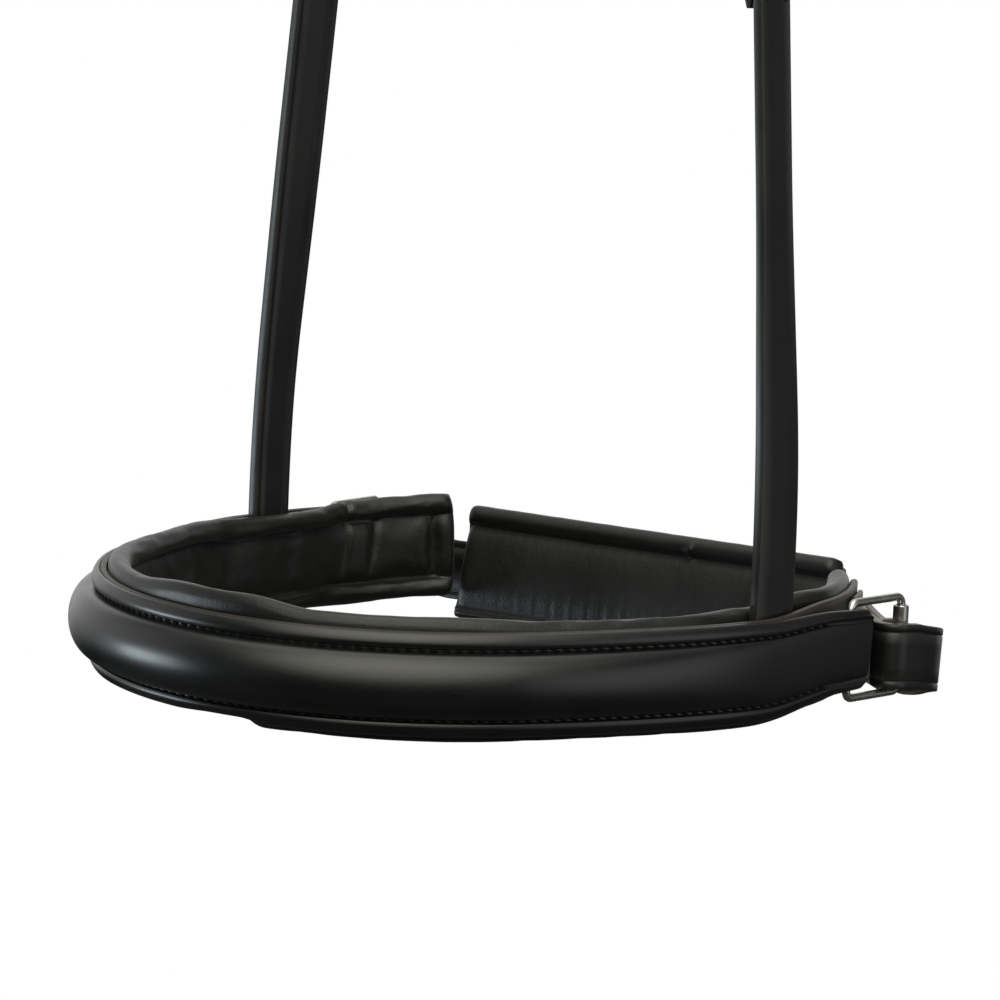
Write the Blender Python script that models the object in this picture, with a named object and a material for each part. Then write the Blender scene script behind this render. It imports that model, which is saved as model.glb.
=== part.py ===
"""Crank noseband of an English bridle, in the shape in which it hangs when it is buckled up.

A raised, padded nosepiece runs round the front. Each of its ends carries a steel crank loop. One long
chin strap is sewn to the off-side loop, runs behind a padded chin piece, turns back through the
near-side loop and buckles to itself. Two cheek straps hold the nosepiece up.

Frame: metres, +Z up, nose towards -Y, the horse's near (left) side towards +X. The origin is on the
outer face of the nosepiece's flange at the middle of the nose, halfway up.
"""
import math

import bmesh
import bpy
from mathutils import Matrix, Vector

for old in list(bpy.data.objects):
    bpy.data.objects.remove(old, do_unlink=True)

MM = 0.001
GAP = 0.3 * MM

# Plan of the noseband, from the middle of the nose to each side: length and radius of each arc
NEAR_NOSE_ROUTE = [(55 * MM, 90 * MM), (55 * MM, 112 * MM), (55 * MM, 300 * MM)]
OFF_NOSE_ROUTE = [(55 * MM, 96 * MM), (55 * MM, 104 * MM), (55 * MM, 300 * MM)]
NEAR_COVER_ROUTE = NEAR_NOSE_ROUTE + [(30 * MM, 140 * MM), (200 * MM, 600 * MM)]
OFF_COVER_ROUTE = OFF_NOSE_ROUTE + [(27 * MM, 140 * MM), (200 * MM, None)]
NEAR_FLAP_ROUTE = NEAR_NOSE_ROUTE + [(27 * MM, 140 * MM), (200 * MM, 92 * MM)]
OFF_FLAP_ROUTE = OFF_NOSE_ROUTE + [(27 * MM, 140 * MM), (200 * MM, 120 * MM)]
OFF_FLAP_BEND = math.radians(3.1)

# Nosepiece cover: a raised strap, its flanges sewn down above and below a rounded filler
COVER_END = 236 * MM
NEAR_RISE = 2.6 * MM
COVER_THICK = 2.2 * MM
COVER_HALF = 15 * MM
COVER_END_HALF = 12.2 * MM
TAPER_START = 184 * MM
CREASE_HALF = 9.7 * MM
CREASE_END_HALF = 8.4 * MM
CREASE_DEPTH = 0.35 * MM
BULGE = 7.2 * MM
BULGE_END = 0.7 * MM
BULGE_FULL_TO = 105 * MM
BULGE_GONE_AT = 214 * MM
FILLER_END = 166 * MM

# Backing strap and padded lining, which run on past the cover as a flap at each end
BACKING_THICK = 1.9 * MM
BACKING_HALF = 15.2 * MM
FLAP_END = 272 * MM
FACING_START = 243 * MM
FACING_THICK = 1.5 * MM
FACING_HALF = 13.4 * MM
PAD_HALF = 17.5 * MM
ROLL_DEPTH = 6.6 * MM
FIELD_DEPTH = 5.4 * MM
LINING_THICK = 1.4 * MM
SEAM_HALF = 11 * MM
SEAM_DEPTH = 4.5 * MM
POCKET_HALF = 10.8 * MM
END_ROLL = 7 * MM

# Cheek straps: where they enter, their size and how they lean in towards the poll
STRAP_AT = {"near": 197.6 * MM, "off": 196.8 * MM}
STRAP_TWIST = math.radians(11)
STRAP_WIDTH = 16 * MM
STRAP_THICK = 3.4 * MM
STRAP_OUT = -6.9 * MM
STRAP_LIFT = 4.4 * MM
ANCHOR_FOOT = -8 * MM
FOLD_HEIGHT = 17.2 * MM
STRAP_ROUTE = [(8 * MM, None), (55 * MM, 600 * MM), (157 * MM, None)]
TURN_THICK = 2.6 * MM
TURN_LENGTH = 43.5 * MM

# Crank loops: rectangular steel loops, front bar in a leather chape, rear bar taking the chin strap
LOOP_AT = 231 * MM
LOOP_OUT = -4.9 * MM
LOOP_REACH = 24 * MM
LOOP_HALF = 14.6 * MM
LOOP_LIFT = {"near": 1.6 * MM, "off": 0.0}
LOOP_WIRE = 1.3 * MM
LOOP_CORNER = 2.4 * MM
CHAPE_START = 218 * MM
CHAPE_HALF = 11 * MM
CHAPE_PLY = 0.9 * MM
ROLLER_INNER = 1.6 * MM
ROLLER_OUTER = 2.4 * MM
ROLLER_HALF = 11.9 * MM

# Chin strap: inner run from the near loop to the off loop, and the billet doubled back outside it
CHIN_WIDTH = 20 * MM
CHIN_THICK = 3 * MM
NEAR_TURN = 4.9 * MM
NEAR_SLACK = 3.2 * MM
OFF_TURN = 4.1 * MM
BILLET_OUT = 8.8 * MM
BILLET_CLOSE = 3.5 * MM
BILLET_OVER_LOOP = 5.3 * MM
CHIN_LINE_AT = (-22.3 * MM, 235.4 * MM)
CHIN_HEADING = math.radians(190.6)
CHIN_TILT = math.radians(14)
CHIN_DROOP = -7.5 * MM
OFF_DROOP = -9.8 * MM
LOOP_DROOP = -3 * MM
CORNER_DROOP = -10 * MM
NEAR_STRAIGHT = 5.1 * MM
NEAR_CORNER = 12 * MM
NEAR_CORNER_HEADING = math.radians(146)
SECOND_CORNER = 14 * MM
OFF_CORNER = 20 * MM
OFF_TURN_LENGTH = 16 * MM

# Chin buckle, keepers and holes, measured along the straight run from the middle of the chin
BUCKLE_AT = -14 * MM
BUCKLE_REACH = 15 * MM
BUCKLE_WIRE = 1.0 * MM
BUCKLE_OUT = 4.85 * MM
BUCKLE_RISE = 7.2 * MM
BUCKLE_HALF = 11.6 * MM
CHIN_CHAPE_END = 7 * MM
BILLET_TIP = 40 * MM
KEEPER_AT = 12 * MM
RUNNER_AT = 26 * MM
KEEPER_WIDTH = 7 * MM
KEEPER_PLY = 1.2 * MM
HOLE_SPACING = 22 * MM
HOLE_RADIUS = 1.9 * MM

# Chin pad, carried inside the chin strap by two leather loops
CHIN_PAD_HALF_LENGTH = 71 * MM
CHIN_PAD_OUT = -4 * MM
CHIN_PAD_HEIGHT = -5 * MM
CHIN_PAD_LOWER = 1.2
PAD_LOOP_AT = 50 * MM
PAD_LOOP_WIDTH = 12 * MM
PAD_LOOP_PLY = 1.4 * MM

# Cheek buckles
CHEEK_REACH = 15 * MM
CHEEK_WIRE = 1.3 * MM
CHEEK_HALF = 10 * MM


def material(name, colour, roughness, metallic=0.0):
    """A plain finish with the piece's own colour."""
    made = bpy.data.materials.new(name)
    made.use_nodes = True
    shader = made.node_tree.nodes["Principled BSDF"]
    shader.inputs["Base Color"].default_value = (*colour, 1.0)
    shader.inputs["Roughness"].default_value = roughness
    shader.inputs["Metallic"].default_value = metallic
    return made


def black_leather(name, roughness=0.42):
    return material(name, (0.014, 0.014, 0.016), roughness)


def pad_leather(name):
    return material(name, (0.022, 0.021, 0.018), 0.62)


def brown_leather(name):
    return material(name, (0.11, 0.06, 0.035), 0.75)


def foam(name):
    return material(name, (0.12, 0.12, 0.11), 0.9)


def steel(name):
    return material(name, (0.62, 0.61, 0.58), 0.28, 1.0)


def add(name, mesh_source, finish, smooth_angle=35):
    """Turn a bmesh into a named object with its own finish, shaded smooth up to an angle."""
    bmesh.ops.recalc_face_normals(mesh_source, faces=mesh_source.faces)
    mesh = bpy.data.meshes.new(name)
    mesh_source.to_mesh(mesh)
    mesh_source.free()
    mesh.shade_smooth()
    mesh.set_sharp_from_angle(angle=math.radians(smooth_angle))
    mesh.materials.append(finish)
    made = bpy.data.objects.new(name, mesh)
    bpy.context.collection.objects.link(made)
    return made


def along(route, distance, start=(0.0, 0.0), heading=0.0):
    """Plan point and heading after walking a distance along straight runs and arcs that turn left."""
    x, y = start
    left = distance
    for number, (length, radius) in enumerate(route):
        step = left if number == len(route) - 1 else min(left, length)
        if radius is None:
            x += step * math.cos(heading)
            y += step * math.sin(heading)
        else:
            turned = heading + step / radius
            x += radius * (math.sin(turned) - math.sin(heading))
            y += radius * (math.cos(heading) - math.cos(turned))
            heading = turned
        left -= step
        if left <= 0:
            break
    return x, y, heading


def band_frame(s, near_route, off_route):
    """Plan point, forward and outward directions of the nosepiece at s, near side positive."""
    x, y, heading = along(near_route if s >= 0 else off_route, abs(s))
    side = 1 if s >= 0 else -1
    forward = Vector((math.cos(heading), side * math.sin(heading), 0))
    outward = Vector((side * math.sin(heading), -math.cos(heading), 0))
    return Vector((side * x, y, 0)), forward, outward


def ease(value, low, high):
    """Smooth step from 0 at low to 1 at high."""
    t = min(max((value - low) / (high - low), 0.0), 1.0)
    return t * t * (3 - 2 * t)


def rise(s):
    """The near end of the nosepiece is drawn up a little behind its cheek strap."""
    return NEAR_RISE * ease(s, 190 * MM, 222 * MM)


def on_cover(s, out, z):
    centre, _, outward = band_frame(s, NEAR_COVER_ROUTE, OFF_COVER_ROUTE)
    return centre + outward * out + Vector((0, 0, z + rise(s)))


def on_flap(s, out, z):
    """A place on the backing and lining; past the cover's off end they are bent up a little."""
    bend = math.sin(OFF_FLAP_BEND * ease(-s, 222 * MM, 250 * MM))
    height = z + rise(s) + max(-s - 232 * MM, 0.0) * bend
    centre, _, outward = band_frame(s + z * bend, NEAR_FLAP_ROUTE, OFF_FLAP_ROUTE)
    return centre + outward * out + Vector((0, 0, height))


def steps(first, last, pitch, extra=()):
    """Evenly spaced stations, with extra ones at the places named."""
    count = max(round((last - first) / pitch), 1)
    even = [first + (last - first) * n / count for n in range(count + 1)]
    spread = [s for s in even if all(abs(s - e) > 0.35 * pitch for e in extra) or s in (first, last)]
    return sorted(spread + [e for e in extra if first < e < last])


def within(stations, end):
    """The stations that lie between the two ends, and the ends themselves."""
    return [-end] + [s for s in stations if abs(s) < end - 2 * MM] + [end]


def sweep(name, rings, finish, smooth_angle=35):
    """A closed body through rings of points that all have the same count."""
    made = bmesh.new()
    end = made.faces.new([made.verts.new(point) for point in rings[0]])
    first_edges = list(end.edges)
    for ring in rings[1:]:
        end = bmesh.ops.extrude_discrete_faces(made, faces=[end])["faces"][0]
        for vert, point in zip(end.verts, ring):
            vert.co = point
    bmesh.ops.holes_fill(made, edges=[e for e in first_edges if e.is_valid], sides=0)
    return add(name, made, finish, smooth_angle)


def ribbon(name, points, across_at, finish, width, thickness):
    """A strap through centre points with its long edges eased; across_at gives its width direction."""
    rings = []
    for number, point in enumerate(points):
        before = points[max(number - 1, 0)]
        after = points[min(number + 1, len(points) - 1)]
        across = Vector(across_at(number) if callable(across_at) else across_at).normalized()
        normal = (after - before).cross(across).normalized()
        half = (thickness(number) if callable(thickness) else thickness) / 2
        reach = (width(number) if callable(width) else width) / 2
        ease_in = min(0.5 * MM, 0.45 * half)
        outline = [(reach - ease_in, half), (reach, half - ease_in), (reach, ease_in - half),
                   (reach - ease_in, -half)]
        outline += [(-u, v) for u, v in reversed(outline)]
        rings.append([point + across * u + normal * v for u, v in outline])
    return sweep(name, rings, finish)


def box(name, matrix, low, high, finish, ease_edges=0.4 * MM):
    """A plate between two corners of a local frame, with eased edges."""
    made = bmesh.new()
    bmesh.ops.create_cube(made, size=1.0)
    size = Vector(high) - Vector(low)
    bmesh.ops.scale(made, vec=size, verts=made.verts)
    bmesh.ops.translate(made, vec=(Vector(high) + Vector(low)) / 2, verts=made.verts)
    bmesh.ops.bevel(made, geom=list(made.edges), offset=ease_edges, segments=1, profile=0.5,
                    affect="EDGES", material=-1)
    made.transform(matrix)
    return add(name, made, finish)


def rounded_rectangle(half_x, low_y, high_y, corner, count):
    """Corner-rounded outline in a plane, counter-clockwise."""
    outline = []
    for quarter, (x, y) in enumerate([(half_x, high_y), (-half_x, high_y), (-half_x, low_y), (half_x, low_y)]):
        cx = x - math.copysign(corner, x)
        cy = y - corner if y == high_y else y + corner
        for n in range(count + 1):
            angle = math.pi / 2 * (quarter + n / count)
            outline.append((cx + corner * math.cos(angle), cy + corner * math.sin(angle)))
    return outline


def keeper(name, matrix, half_x, low_z, high_z, width, ply, finish):
    """A leather band round a strap: local X across the strap, Z out of it, centred along Y."""
    made = bmesh.new()
    edges = []
    for grow in (0.0, ply):
        outline = rounded_rectangle(half_x + grow, low_z - grow, high_z + grow, 0.8 * MM + grow, 2)
        verts = [made.verts.new((x, -width / 2, z)) for x, z in outline]
        edges += [made.edges.new((a, b)) for a, b in zip(verts, verts[1:] + verts[:1])]
    bmesh.ops.bridge_loops(made, edges=edges)
    extruded = bmesh.ops.extrude_face_region(made, geom=list(made.faces))["geom"]
    bmesh.ops.translate(made, vec=(0, width, 0),
                        verts=[item for item in extruded if isinstance(item, bmesh.types.BMVert)])
    placed = add(name, made, finish)
    placed.matrix_world = matrix
    return placed


def tube(name, matrix, half_length, inner, outer, finish, sides=18):
    """A roller on the local Z axis."""
    made = bmesh.new()
    edges = []
    for radius in (inner, outer):
        ring = bmesh.ops.create_circle(made, cap_ends=False, radius=radius, segments=sides)["verts"]
        edges += list({edge for vert in ring for edge in vert.link_edges})
    bmesh.ops.bridge_loops(made, edges=edges)
    bmesh.ops.translate(made, vec=(0, 0, -half_length), verts=made.verts)
    extruded = bmesh.ops.extrude_face_region(made, geom=list(made.faces))["geom"]
    bmesh.ops.translate(made, vec=(0, 0, 2 * half_length),
                        verts=[item for item in extruded if isinstance(item, bmesh.types.BMVert)])
    placed = add(name, made, finish)
    placed.matrix_world = matrix
    return placed


def wire(name, matrix, points, radius, finish, cyclic):
    """Round wire bent through points of a local frame."""
    curve = bpy.data.curves.new(name, "CURVE")
    curve.dimensions = "3D"
    curve.bevel_depth = radius
    curve.bevel_resolution = 2
    curve.use_fill_caps = True
    spline = curve.splines.new("POLY")
    spline.points.add(len(points) - 1)
    for place, point in zip(spline.points, points):
        place.co = (*point, 1.0)
    spline.use_cyclic_u = cyclic
    spline.use_smooth = True
    curve.materials.append(finish)
    made = bpy.data.objects.new(name, curve)
    bpy.context.collection.objects.link(made)
    made.matrix_world = matrix
    return made


def local_frame(origin, x_axis, y_axis):
    """Matrix of a right-handed frame from its origin, its X direction and its rough Y direction."""
    x = Vector(x_axis).normalized()
    z = x.cross(Vector(y_axis)).normalized()
    y = z.cross(x)
    return Matrix.Translation(Vector(origin)) @ Matrix((x, y, z)).transposed().to_4x4()


def cut(piece, cutter):
    """Cut a shape out of a piece and hide the cutter."""
    cutter.hide_render = True
    cutter.display_type = "WIRE"
    slot = piece.modifiers.new("cut_" + cutter.name, "BOOLEAN")
    slot.operation = "DIFFERENCE"
    slot.solver = "EXACT"
    slot.object = cutter


def slot_cutter(name, matrix, half_x, half_y, half_z):
    """A block used only to cut a slot."""
    made = bmesh.new()
    bmesh.ops.create_cube(made, size=1.0)
    bmesh.ops.scale(made, vec=(2 * half_x, 2 * half_y, 2 * half_z), verts=made.verts)
    placed = add(name, made, black_leather(name))
    placed.matrix_world = matrix
    return placed


# Nosepiece cover and its filler

def cover_half(s):
    return COVER_HALF + (COVER_END_HALF - COVER_HALF) * ease(abs(s), TAPER_START, COVER_END)


def crease_half(s):
    return CREASE_HALF + (CREASE_END_HALF - CREASE_HALF) * ease(abs(s), TAPER_START, COVER_END)


def bulge(s):
    return BULGE + (BULGE_END - BULGE) * ease(abs(s), BULGE_FULL_TO, BULGE_GONE_AT)


def arch(half, height, base, count):
    """Points over a rounded ridge from +half to -half."""
    turns = [math.pi * n / count for n in range(count + 1)]
    return [(base + height * math.sin(a) ** 0.85, half * math.cos(a)) for a in turns]


def cover_ring(s):
    half, crease, height = cover_half(s), crease_half(s), bulge(s)
    upper = [(-COVER_THICK, half), (-0.5 * MM, half), (0, half - 0.5 * MM), (0, crease + 0.9 * MM)]
    ridge = arch(crease, height, -CREASE_DEPTH, 8)
    lower = [(out, -z) for out, z in reversed(upper)]
    hollow = list(reversed(arch(crease - 1.8 * MM, height, -COVER_THICK, 7)))
    return [on_cover(s, out, z) for out, z in upper + ridge + lower + hollow]


cover_stations = steps(-COVER_END, COVER_END, 9 * MM)
sweep("nose_cover", [cover_ring(s) for s in cover_stations], black_leather("cover_leather", 0.36), 50)


def filler_ring(s):
    ridge = arch(crease_half(s) - 2.3 * MM, bulge(s) - 0.5 * MM, -COVER_THICK, 7)
    return [on_cover(s, out, z) for out, z in ridge]


filler_stations = within(cover_stations, FILLER_END)
sweep("nose_filler", [filler_ring(s) for s in filler_stations], foam("filler_cord"), 50)


# Backing strap, foam and padded lining of the nosepiece

BACKING_OUT = -COVER_THICK - GAP
PAD_BACK = BACKING_OUT - BACKING_THICK - GAP


def backing_ring(s):
    outline = [(BACKING_OUT, BACKING_HALF), (BACKING_OUT, -BACKING_HALF),
               (BACKING_OUT - BACKING_THICK, -BACKING_HALF), (BACKING_OUT - BACKING_THICK, BACKING_HALF)]
    return [on_flap(s, out, z) for out, z in outline]


flap_stations = steps(-FLAP_END, FLAP_END, 9 * MM)
sweep("nose_backing", [backing_ring(s) for s in flap_stations], brown_leather("backing_leather"))


def facing_ring(s):
    front = BACKING_OUT + GAP + FACING_THICK
    outline = [(front, FACING_HALF - 0.5 * MM), (front - 0.5 * MM, FACING_HALF),
               (BACKING_OUT + GAP, FACING_HALF), (BACKING_OUT + GAP, -FACING_HALF),
               (front - 0.5 * MM, -FACING_HALF), (front, 0.5 * MM - FACING_HALF)]
    return [on_flap(s, out, z) for out, z in outline]


for side, ends in (("near", (FACING_START, FLAP_END - 3 * MM)), ("off", (3 * MM - FLAP_END, -FACING_START))):
    sweep(side + "_flap_facing", [facing_ring(s) for s in steps(*ends, 8 * MM)],
          black_leather(side + "_facing_leather"))


def lining_outline(field, pocket):
    """Section of a padded lining behind its backing: a roll above and below, a flatter field between."""
    roll = [(0, POCKET_HALF + 0.7 * MM), (0, PAD_HALF - 2.2 * MM), (-0.9 * MM, PAD_HALF - 0.6 * MM),
            (-0.5 * ROLL_DEPTH, PAD_HALF), (-ROLL_DEPTH + 0.9 * MM, PAD_HALF - 1 * MM),
            (-ROLL_DEPTH, PAD_HALF - 3.3 * MM), (-ROLL_DEPTH + 0.8 * MM, SEAM_HALF + 1.2 * MM),
            (-max(SEAM_DEPTH, field - 0.6 * MM), SEAM_HALF), (-field, 0.55 * SEAM_HALF)]
    mirrored = [(out, -z) for out, z in reversed(roll)]
    hollow = [(-pocket, -POCKET_HALF), (-pocket, POCKET_HALF)]
    return roll + mirrored + hollow


def strap_lift(s, z):
    """How far the lining stands off the backing, to let the cheek strap down between them."""
    seat = STRAP_AT["near"] if s > 0 else STRAP_AT["off"]
    beside = 1 - ease(abs(abs(s) - seat), 9.5 * MM, 24 * MM)
    return STRAP_LIFT * beside * ease(z, -15.5 * MM, -10.8 * MM)


def end_share(distance_to_end):
    """0 in the field, 1 in the roll that closes the end."""
    return 1 - ease(distance_to_end, 0.35 * END_ROLL, END_ROLL)


def lining_section(distance_to_end):
    share = end_share(distance_to_end)
    field = FIELD_DEPTH + (ROLL_DEPTH - FIELD_DEPTH) * share
    pocket = (FIELD_DEPTH - LINING_THICK) * (1 - share)
    shrink = 0.55 if distance_to_end < 0.5 * MM else (0.88 if distance_to_end < 2 * MM else 1.0)
    return [(out * shrink, z * (1 if shrink == 1 else 0.97 + 0.03 * shrink)) for out, z in
            lining_outline(field, pocket)]


def end_stations(end):
    near = [end - 1.4 * MM, end - 0.35 * END_ROLL, end - 0.65 * END_ROLL, end - END_ROLL]
    return near + [-s for s in near]


def strap_stations():
    beside = (-24 * MM, -9.5 * MM, 0, 9.5 * MM, 24 * MM)
    return [STRAP_AT["near"] + u for u in beside] + [-STRAP_AT["off"] - u for u in beside]


def lining_ring(s):
    outline = lining_section(FLAP_END - abs(s))
    return [on_flap(s, PAD_BACK + out - strap_lift(s, z), z) for out, z in outline]


lining_stations = steps(-FLAP_END, FLAP_END, 10.5 * MM, end_stations(FLAP_END) + strap_stations())
sweep("nose_lining", [lining_ring(s) for s in lining_stations], pad_leather("lining_leather"), 60)

FOAM_FRONT = FIELD_DEPTH - LINING_THICK - 0.5 * MM


def foam_ring(s):
    outline = [(0, POCKET_HALF), (0, -POCKET_HALF), (-FOAM_FRONT, -POCKET_HALF + GAP),
               (-FOAM_FRONT, POCKET_HALF - GAP)]
    return [on_flap(s, PAD_BACK + out - strap_lift(s, z), z) for out, z in outline]


foam_end = FLAP_END - END_ROLL - 0.5 * MM
sweep("nose_foam", [foam_ring(s) for s in within(lining_stations, foam_end)], foam("pad_foam"))


# Crank loops in their chapes, and the roller on the near loop

def loop_points():
    """Rectangular loop with its front bar on the local Z axis and its rear bar along +X."""
    outline = rounded_rectangle(LOOP_HALF, 0.0, LOOP_REACH, LOOP_CORNER, 4)
    return [(y, 0.0, z) for z, y in outline]


rear_bars = {}
for side, sign in (("near", 1), ("off", -1)):
    centre, forward, outward = band_frame(sign * LOOP_AT, NEAR_COVER_ROUTE, OFF_COVER_ROUTE)
    lift = Vector((0, 0, LOOP_LIFT[side]))
    front_bar = centre + outward * LOOP_OUT + lift
    rearward = forward * sign
    loop_frame = local_frame(front_bar, rearward, outward * -sign)
    wire(side + "_crank_loop", loop_frame, loop_points(), LOOP_WIRE, steel(side + "_loop_steel"), True)
    rear_bars[side] = front_bar + rearward * LOOP_REACH

    ply = LOOP_WIRE + 0.15 * MM + CHAPE_PLY / 2
    run = LOOP_AT - CHAPE_START
    chape_line = [(-run, ply), (-0.5 * run, ply), (0.0, ply)]
    chape_line += [(ply * math.sin(math.pi * n / 8), ply * math.cos(math.pi * n / 8)) for n in range(1, 8)]
    chape_line += [(0.0, -ply), (-0.35 * run, -0.55 * ply), (-0.7 * run, ply - CHAPE_PLY - 0.5 * MM),
                   (-run, ply - CHAPE_PLY - GAP)]
    chape_points = [on_cover(sign * (LOOP_AT + u), LOOP_OUT + v, -rise(sign * (LOOP_AT + u))) + lift
                    for u, v in chape_line]
    ribbon(side + "_crank_chape", chape_points, (0, 0, 1), black_leather(side + "_chape_leather"),
           2 * CHAPE_HALF, CHAPE_PLY)

tube("near_loop_roller", Matrix.Translation(rear_bars["near"]), ROLLER_HALF, ROLLER_INNER, ROLLER_OUTER,
     steel("roller_steel"))


# Chin strap: one strap, from its sewn end at the off loop to the billet's point at the chin

_, near_rear, near_out = band_frame(LOOP_AT, NEAR_COVER_ROUTE, OFF_COVER_ROUTE)
_, off_forward, off_out = band_frame(-LOOP_AT, NEAR_COVER_ROUTE, OFF_COVER_ROUTE)
near_heading = math.atan2(near_rear.y, near_rear.x)
off_heading = math.atan2(off_forward.y, off_forward.x) + 2 * math.pi
inner_start = rear_bars["near"] - near_out * NEAR_TURN


def chin_route():
    """Arcs of the inner run, its two free straights solved so that it meets the chin line."""
    x, y, heading = along([(NEAR_STRAIGHT, None)], NEAR_STRAIGHT, inner_start[:2], near_heading)
    first_turn = (NEAR_CORNER_HEADING - heading) * NEAR_CORNER
    x, y, heading = along([(first_turn, NEAR_CORNER)], first_turn, (x, y), heading)
    second_turn = (CHIN_HEADING - NEAR_CORNER_HEADING) * SECOND_CORNER
    turn_x, turn_y, _ = along([(second_turn, SECOND_CORNER)], second_turn, (0, 0), heading)
    off_turn = (off_heading - CHIN_HEADING) * OFF_CORNER
    corner_x, corner_y, _ = along([(off_turn, OFF_CORNER)], off_turn, (0, 0), CHIN_HEADING)
    off_end = rear_bars["off"] + off_out * OFF_TURN

    def solve(gap_x, gap_y, first, second):
        a, b, c, d = math.cos(first), math.cos(second), math.sin(first), math.sin(second)
        whole = a * d - b * c
        return (gap_x * d - b * gap_y) / whole, (a * gap_y - c * gap_x) / whole

    lead, near_run = solve(CHIN_LINE_AT[0] - x - turn_x, CHIN_LINE_AT[1] - y - turn_y,
                           NEAR_CORNER_HEADING, CHIN_HEADING)
    off_run, tail = solve(off_end.x - CHIN_LINE_AT[0] - corner_x, off_end.y - CHIN_LINE_AT[1] - corner_y,
                          CHIN_HEADING, off_heading)
    route = [(NEAR_STRAIGHT, None), (first_turn, NEAR_CORNER), (lead, None), (second_turn, SECOND_CORNER),
             (near_run + off_run, None), (off_turn, OFF_CORNER), (tail, None)]
    return route, sum(length for length, _ in route[:4]) + near_run, sum(length for length, _ in route)


CHIN_ROUTE, CHIN_MIDDLE, CHIN_LENGTH = chin_route()


def droop(s):
    """Height of the chin strap's middle line: it hangs between the two loops."""
    start = LOOP_DROOP + LOOP_LIFT["near"] + 0.5 * MM
    fall = start + (CORNER_DROOP - start) * ease(s, -4 * MM, 32 * MM)
    level = (CHIN_DROOP - CORNER_DROOP) * ease(s, 55 * MM, CHIN_MIDDLE - 62 * MM)
    dip = (OFF_DROOP - CHIN_DROOP) * ease(s, CHIN_MIDDLE + 57 * MM, CHIN_MIDDLE + 78 * MM)
    climb = (LOOP_DROOP - OFF_DROOP) * ease(s, CHIN_MIDDLE + 80 * MM, CHIN_LENGTH)
    return fall + level + dip + climb


def tilt(s):
    """Behind the chin the strap leans, its upper edge outward, to follow the jaw."""
    leaning = ease(s, -12 * MM, CHIN_MIDDLE - 60 * MM) - ease(s, CHIN_MIDDLE + 66 * MM, CHIN_LENGTH - 6 * MM)
    return CHIN_TILT * leaning


def chin_directions(s):
    """Plan point on the strap's middle line, its outward direction and its direction up across it."""
    x, y, heading = along(CHIN_ROUTE, s, inner_start[:2], near_heading)
    level = Vector((math.sin(heading), -math.cos(heading), 0))
    upright = Vector((0, 0, 1))
    lean = tilt(s)
    outward = level * math.cos(lean) - upright * math.sin(lean)
    return Vector((x, y, droop(s))), outward, upright * math.cos(lean) + level * math.sin(lean)


def on_chin(s, out):
    point, outward, _ = chin_directions(s)
    return point + outward * out


def billet_out(s):
    """The billet leaves the near loop, closes on the strap, then lifts over the pad's loop and the buckle."""
    out = 2 * NEAR_TURN + (BILLET_CLOSE - 2 * NEAR_TURN) * ease(s, 8 * MM, 48 * MM)
    out += (BILLET_OVER_LOOP - BILLET_CLOSE) * ease(s, CHIN_MIDDLE - 69 * MM, CHIN_MIDDLE - 58 * MM)
    return out + (BILLET_OUT - BILLET_OVER_LOOP) * ease(s, CHIN_MIDDLE - 45 * MM, CHIN_MIDDLE - 28 * MM)


def chin_strap_points():
    """Centre line and width direction from the sewn end at the off loop to the billet's point."""
    upright = Vector((0, 0, 1))
    points = []
    bar = rear_bars["off"] + Vector((0, 0, LOOP_DROOP))
    for back, share in ((OFF_TURN_LENGTH, 0.06), (0.6 * OFF_TURN_LENGTH, 0.3), (0.3 * OFF_TURN_LENGTH, 0.75)):
        inner = OFF_TURN - share * 2 * OFF_TURN - (1 - share) * (CHIN_THICK + 0.9 * MM)
        points.append((bar - off_forward * back + off_out * inner, upright))
    for n in range(9):
        angle = math.pi * n / 8
        turned = off_forward * math.sin(angle) - off_out * math.cos(angle)
        points.append((bar + turned * OFF_TURN, upright))
    bends = []
    walked = 0.0
    for length, radius in CHIN_ROUTE:
        bends += [walked] if radius is None else [walked + length * n / 5 for n in range(6)]
        walked += length
    inner_stations = sorted({round(b, 6) for b in bends} | {CHIN_LENGTH * n / 26 for n in range(27)})
    kept = [inner_stations[0]]
    for s in inner_stations[1:]:
        if s - kept[-1] > 1.6 * MM:
            kept.append(s)
    points += [(on_chin(s, 0), chin_directions(s)[2]) for s in reversed(kept[1:]) if s < CHIN_LENGTH - 2 * MM]
    near_bar = rear_bars["near"] - near_rear * NEAR_SLACK + Vector((0, 0, droop(0) - LOOP_LIFT["near"]))
    for n in range(9):
        angle = math.pi * n / 8
        turned = near_rear * math.sin(angle) + near_out * math.cos(angle)
        points.append((near_bar - turned * NEAR_TURN, upright))
    billet_end = CHIN_MIDDLE + BILLET_TIP
    for s in [k for k in kept[1:] if k < billet_end - 14 * MM] + [billet_end - 14 * MM, billet_end - 7 * MM,
                                                               billet_end - 2 * MM, billet_end]:
        points.append((on_chin(s, billet_out(s)), chin_directions(s)[2]))
    return points


chin_points = chin_strap_points()


def chin_width(number):
    """The billet ends in a point."""
    to_tip = len(chin_points) - 1 - number
    return CHIN_WIDTH * (0.35, 0.62, 0.9)[to_tip] if to_tip < 3 else CHIN_WIDTH


def chin_thickness(number):
    """The sewn end is thinned where it lies on the strap."""
    return 1.0 * MM if number == 0 else (1.8 * MM if number == 1 else CHIN_THICK)


chin_strap = ribbon("chin_strap", [point for point, _ in chin_points], lambda n: chin_points[n][1],
                    black_leather("chin_leather"), chin_width, chin_thickness)

chin_origin, chin_out, chin_up = chin_directions(CHIN_MIDDLE)
chin_along = Vector((math.cos(CHIN_HEADING), math.sin(CHIN_HEADING), 0))


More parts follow.
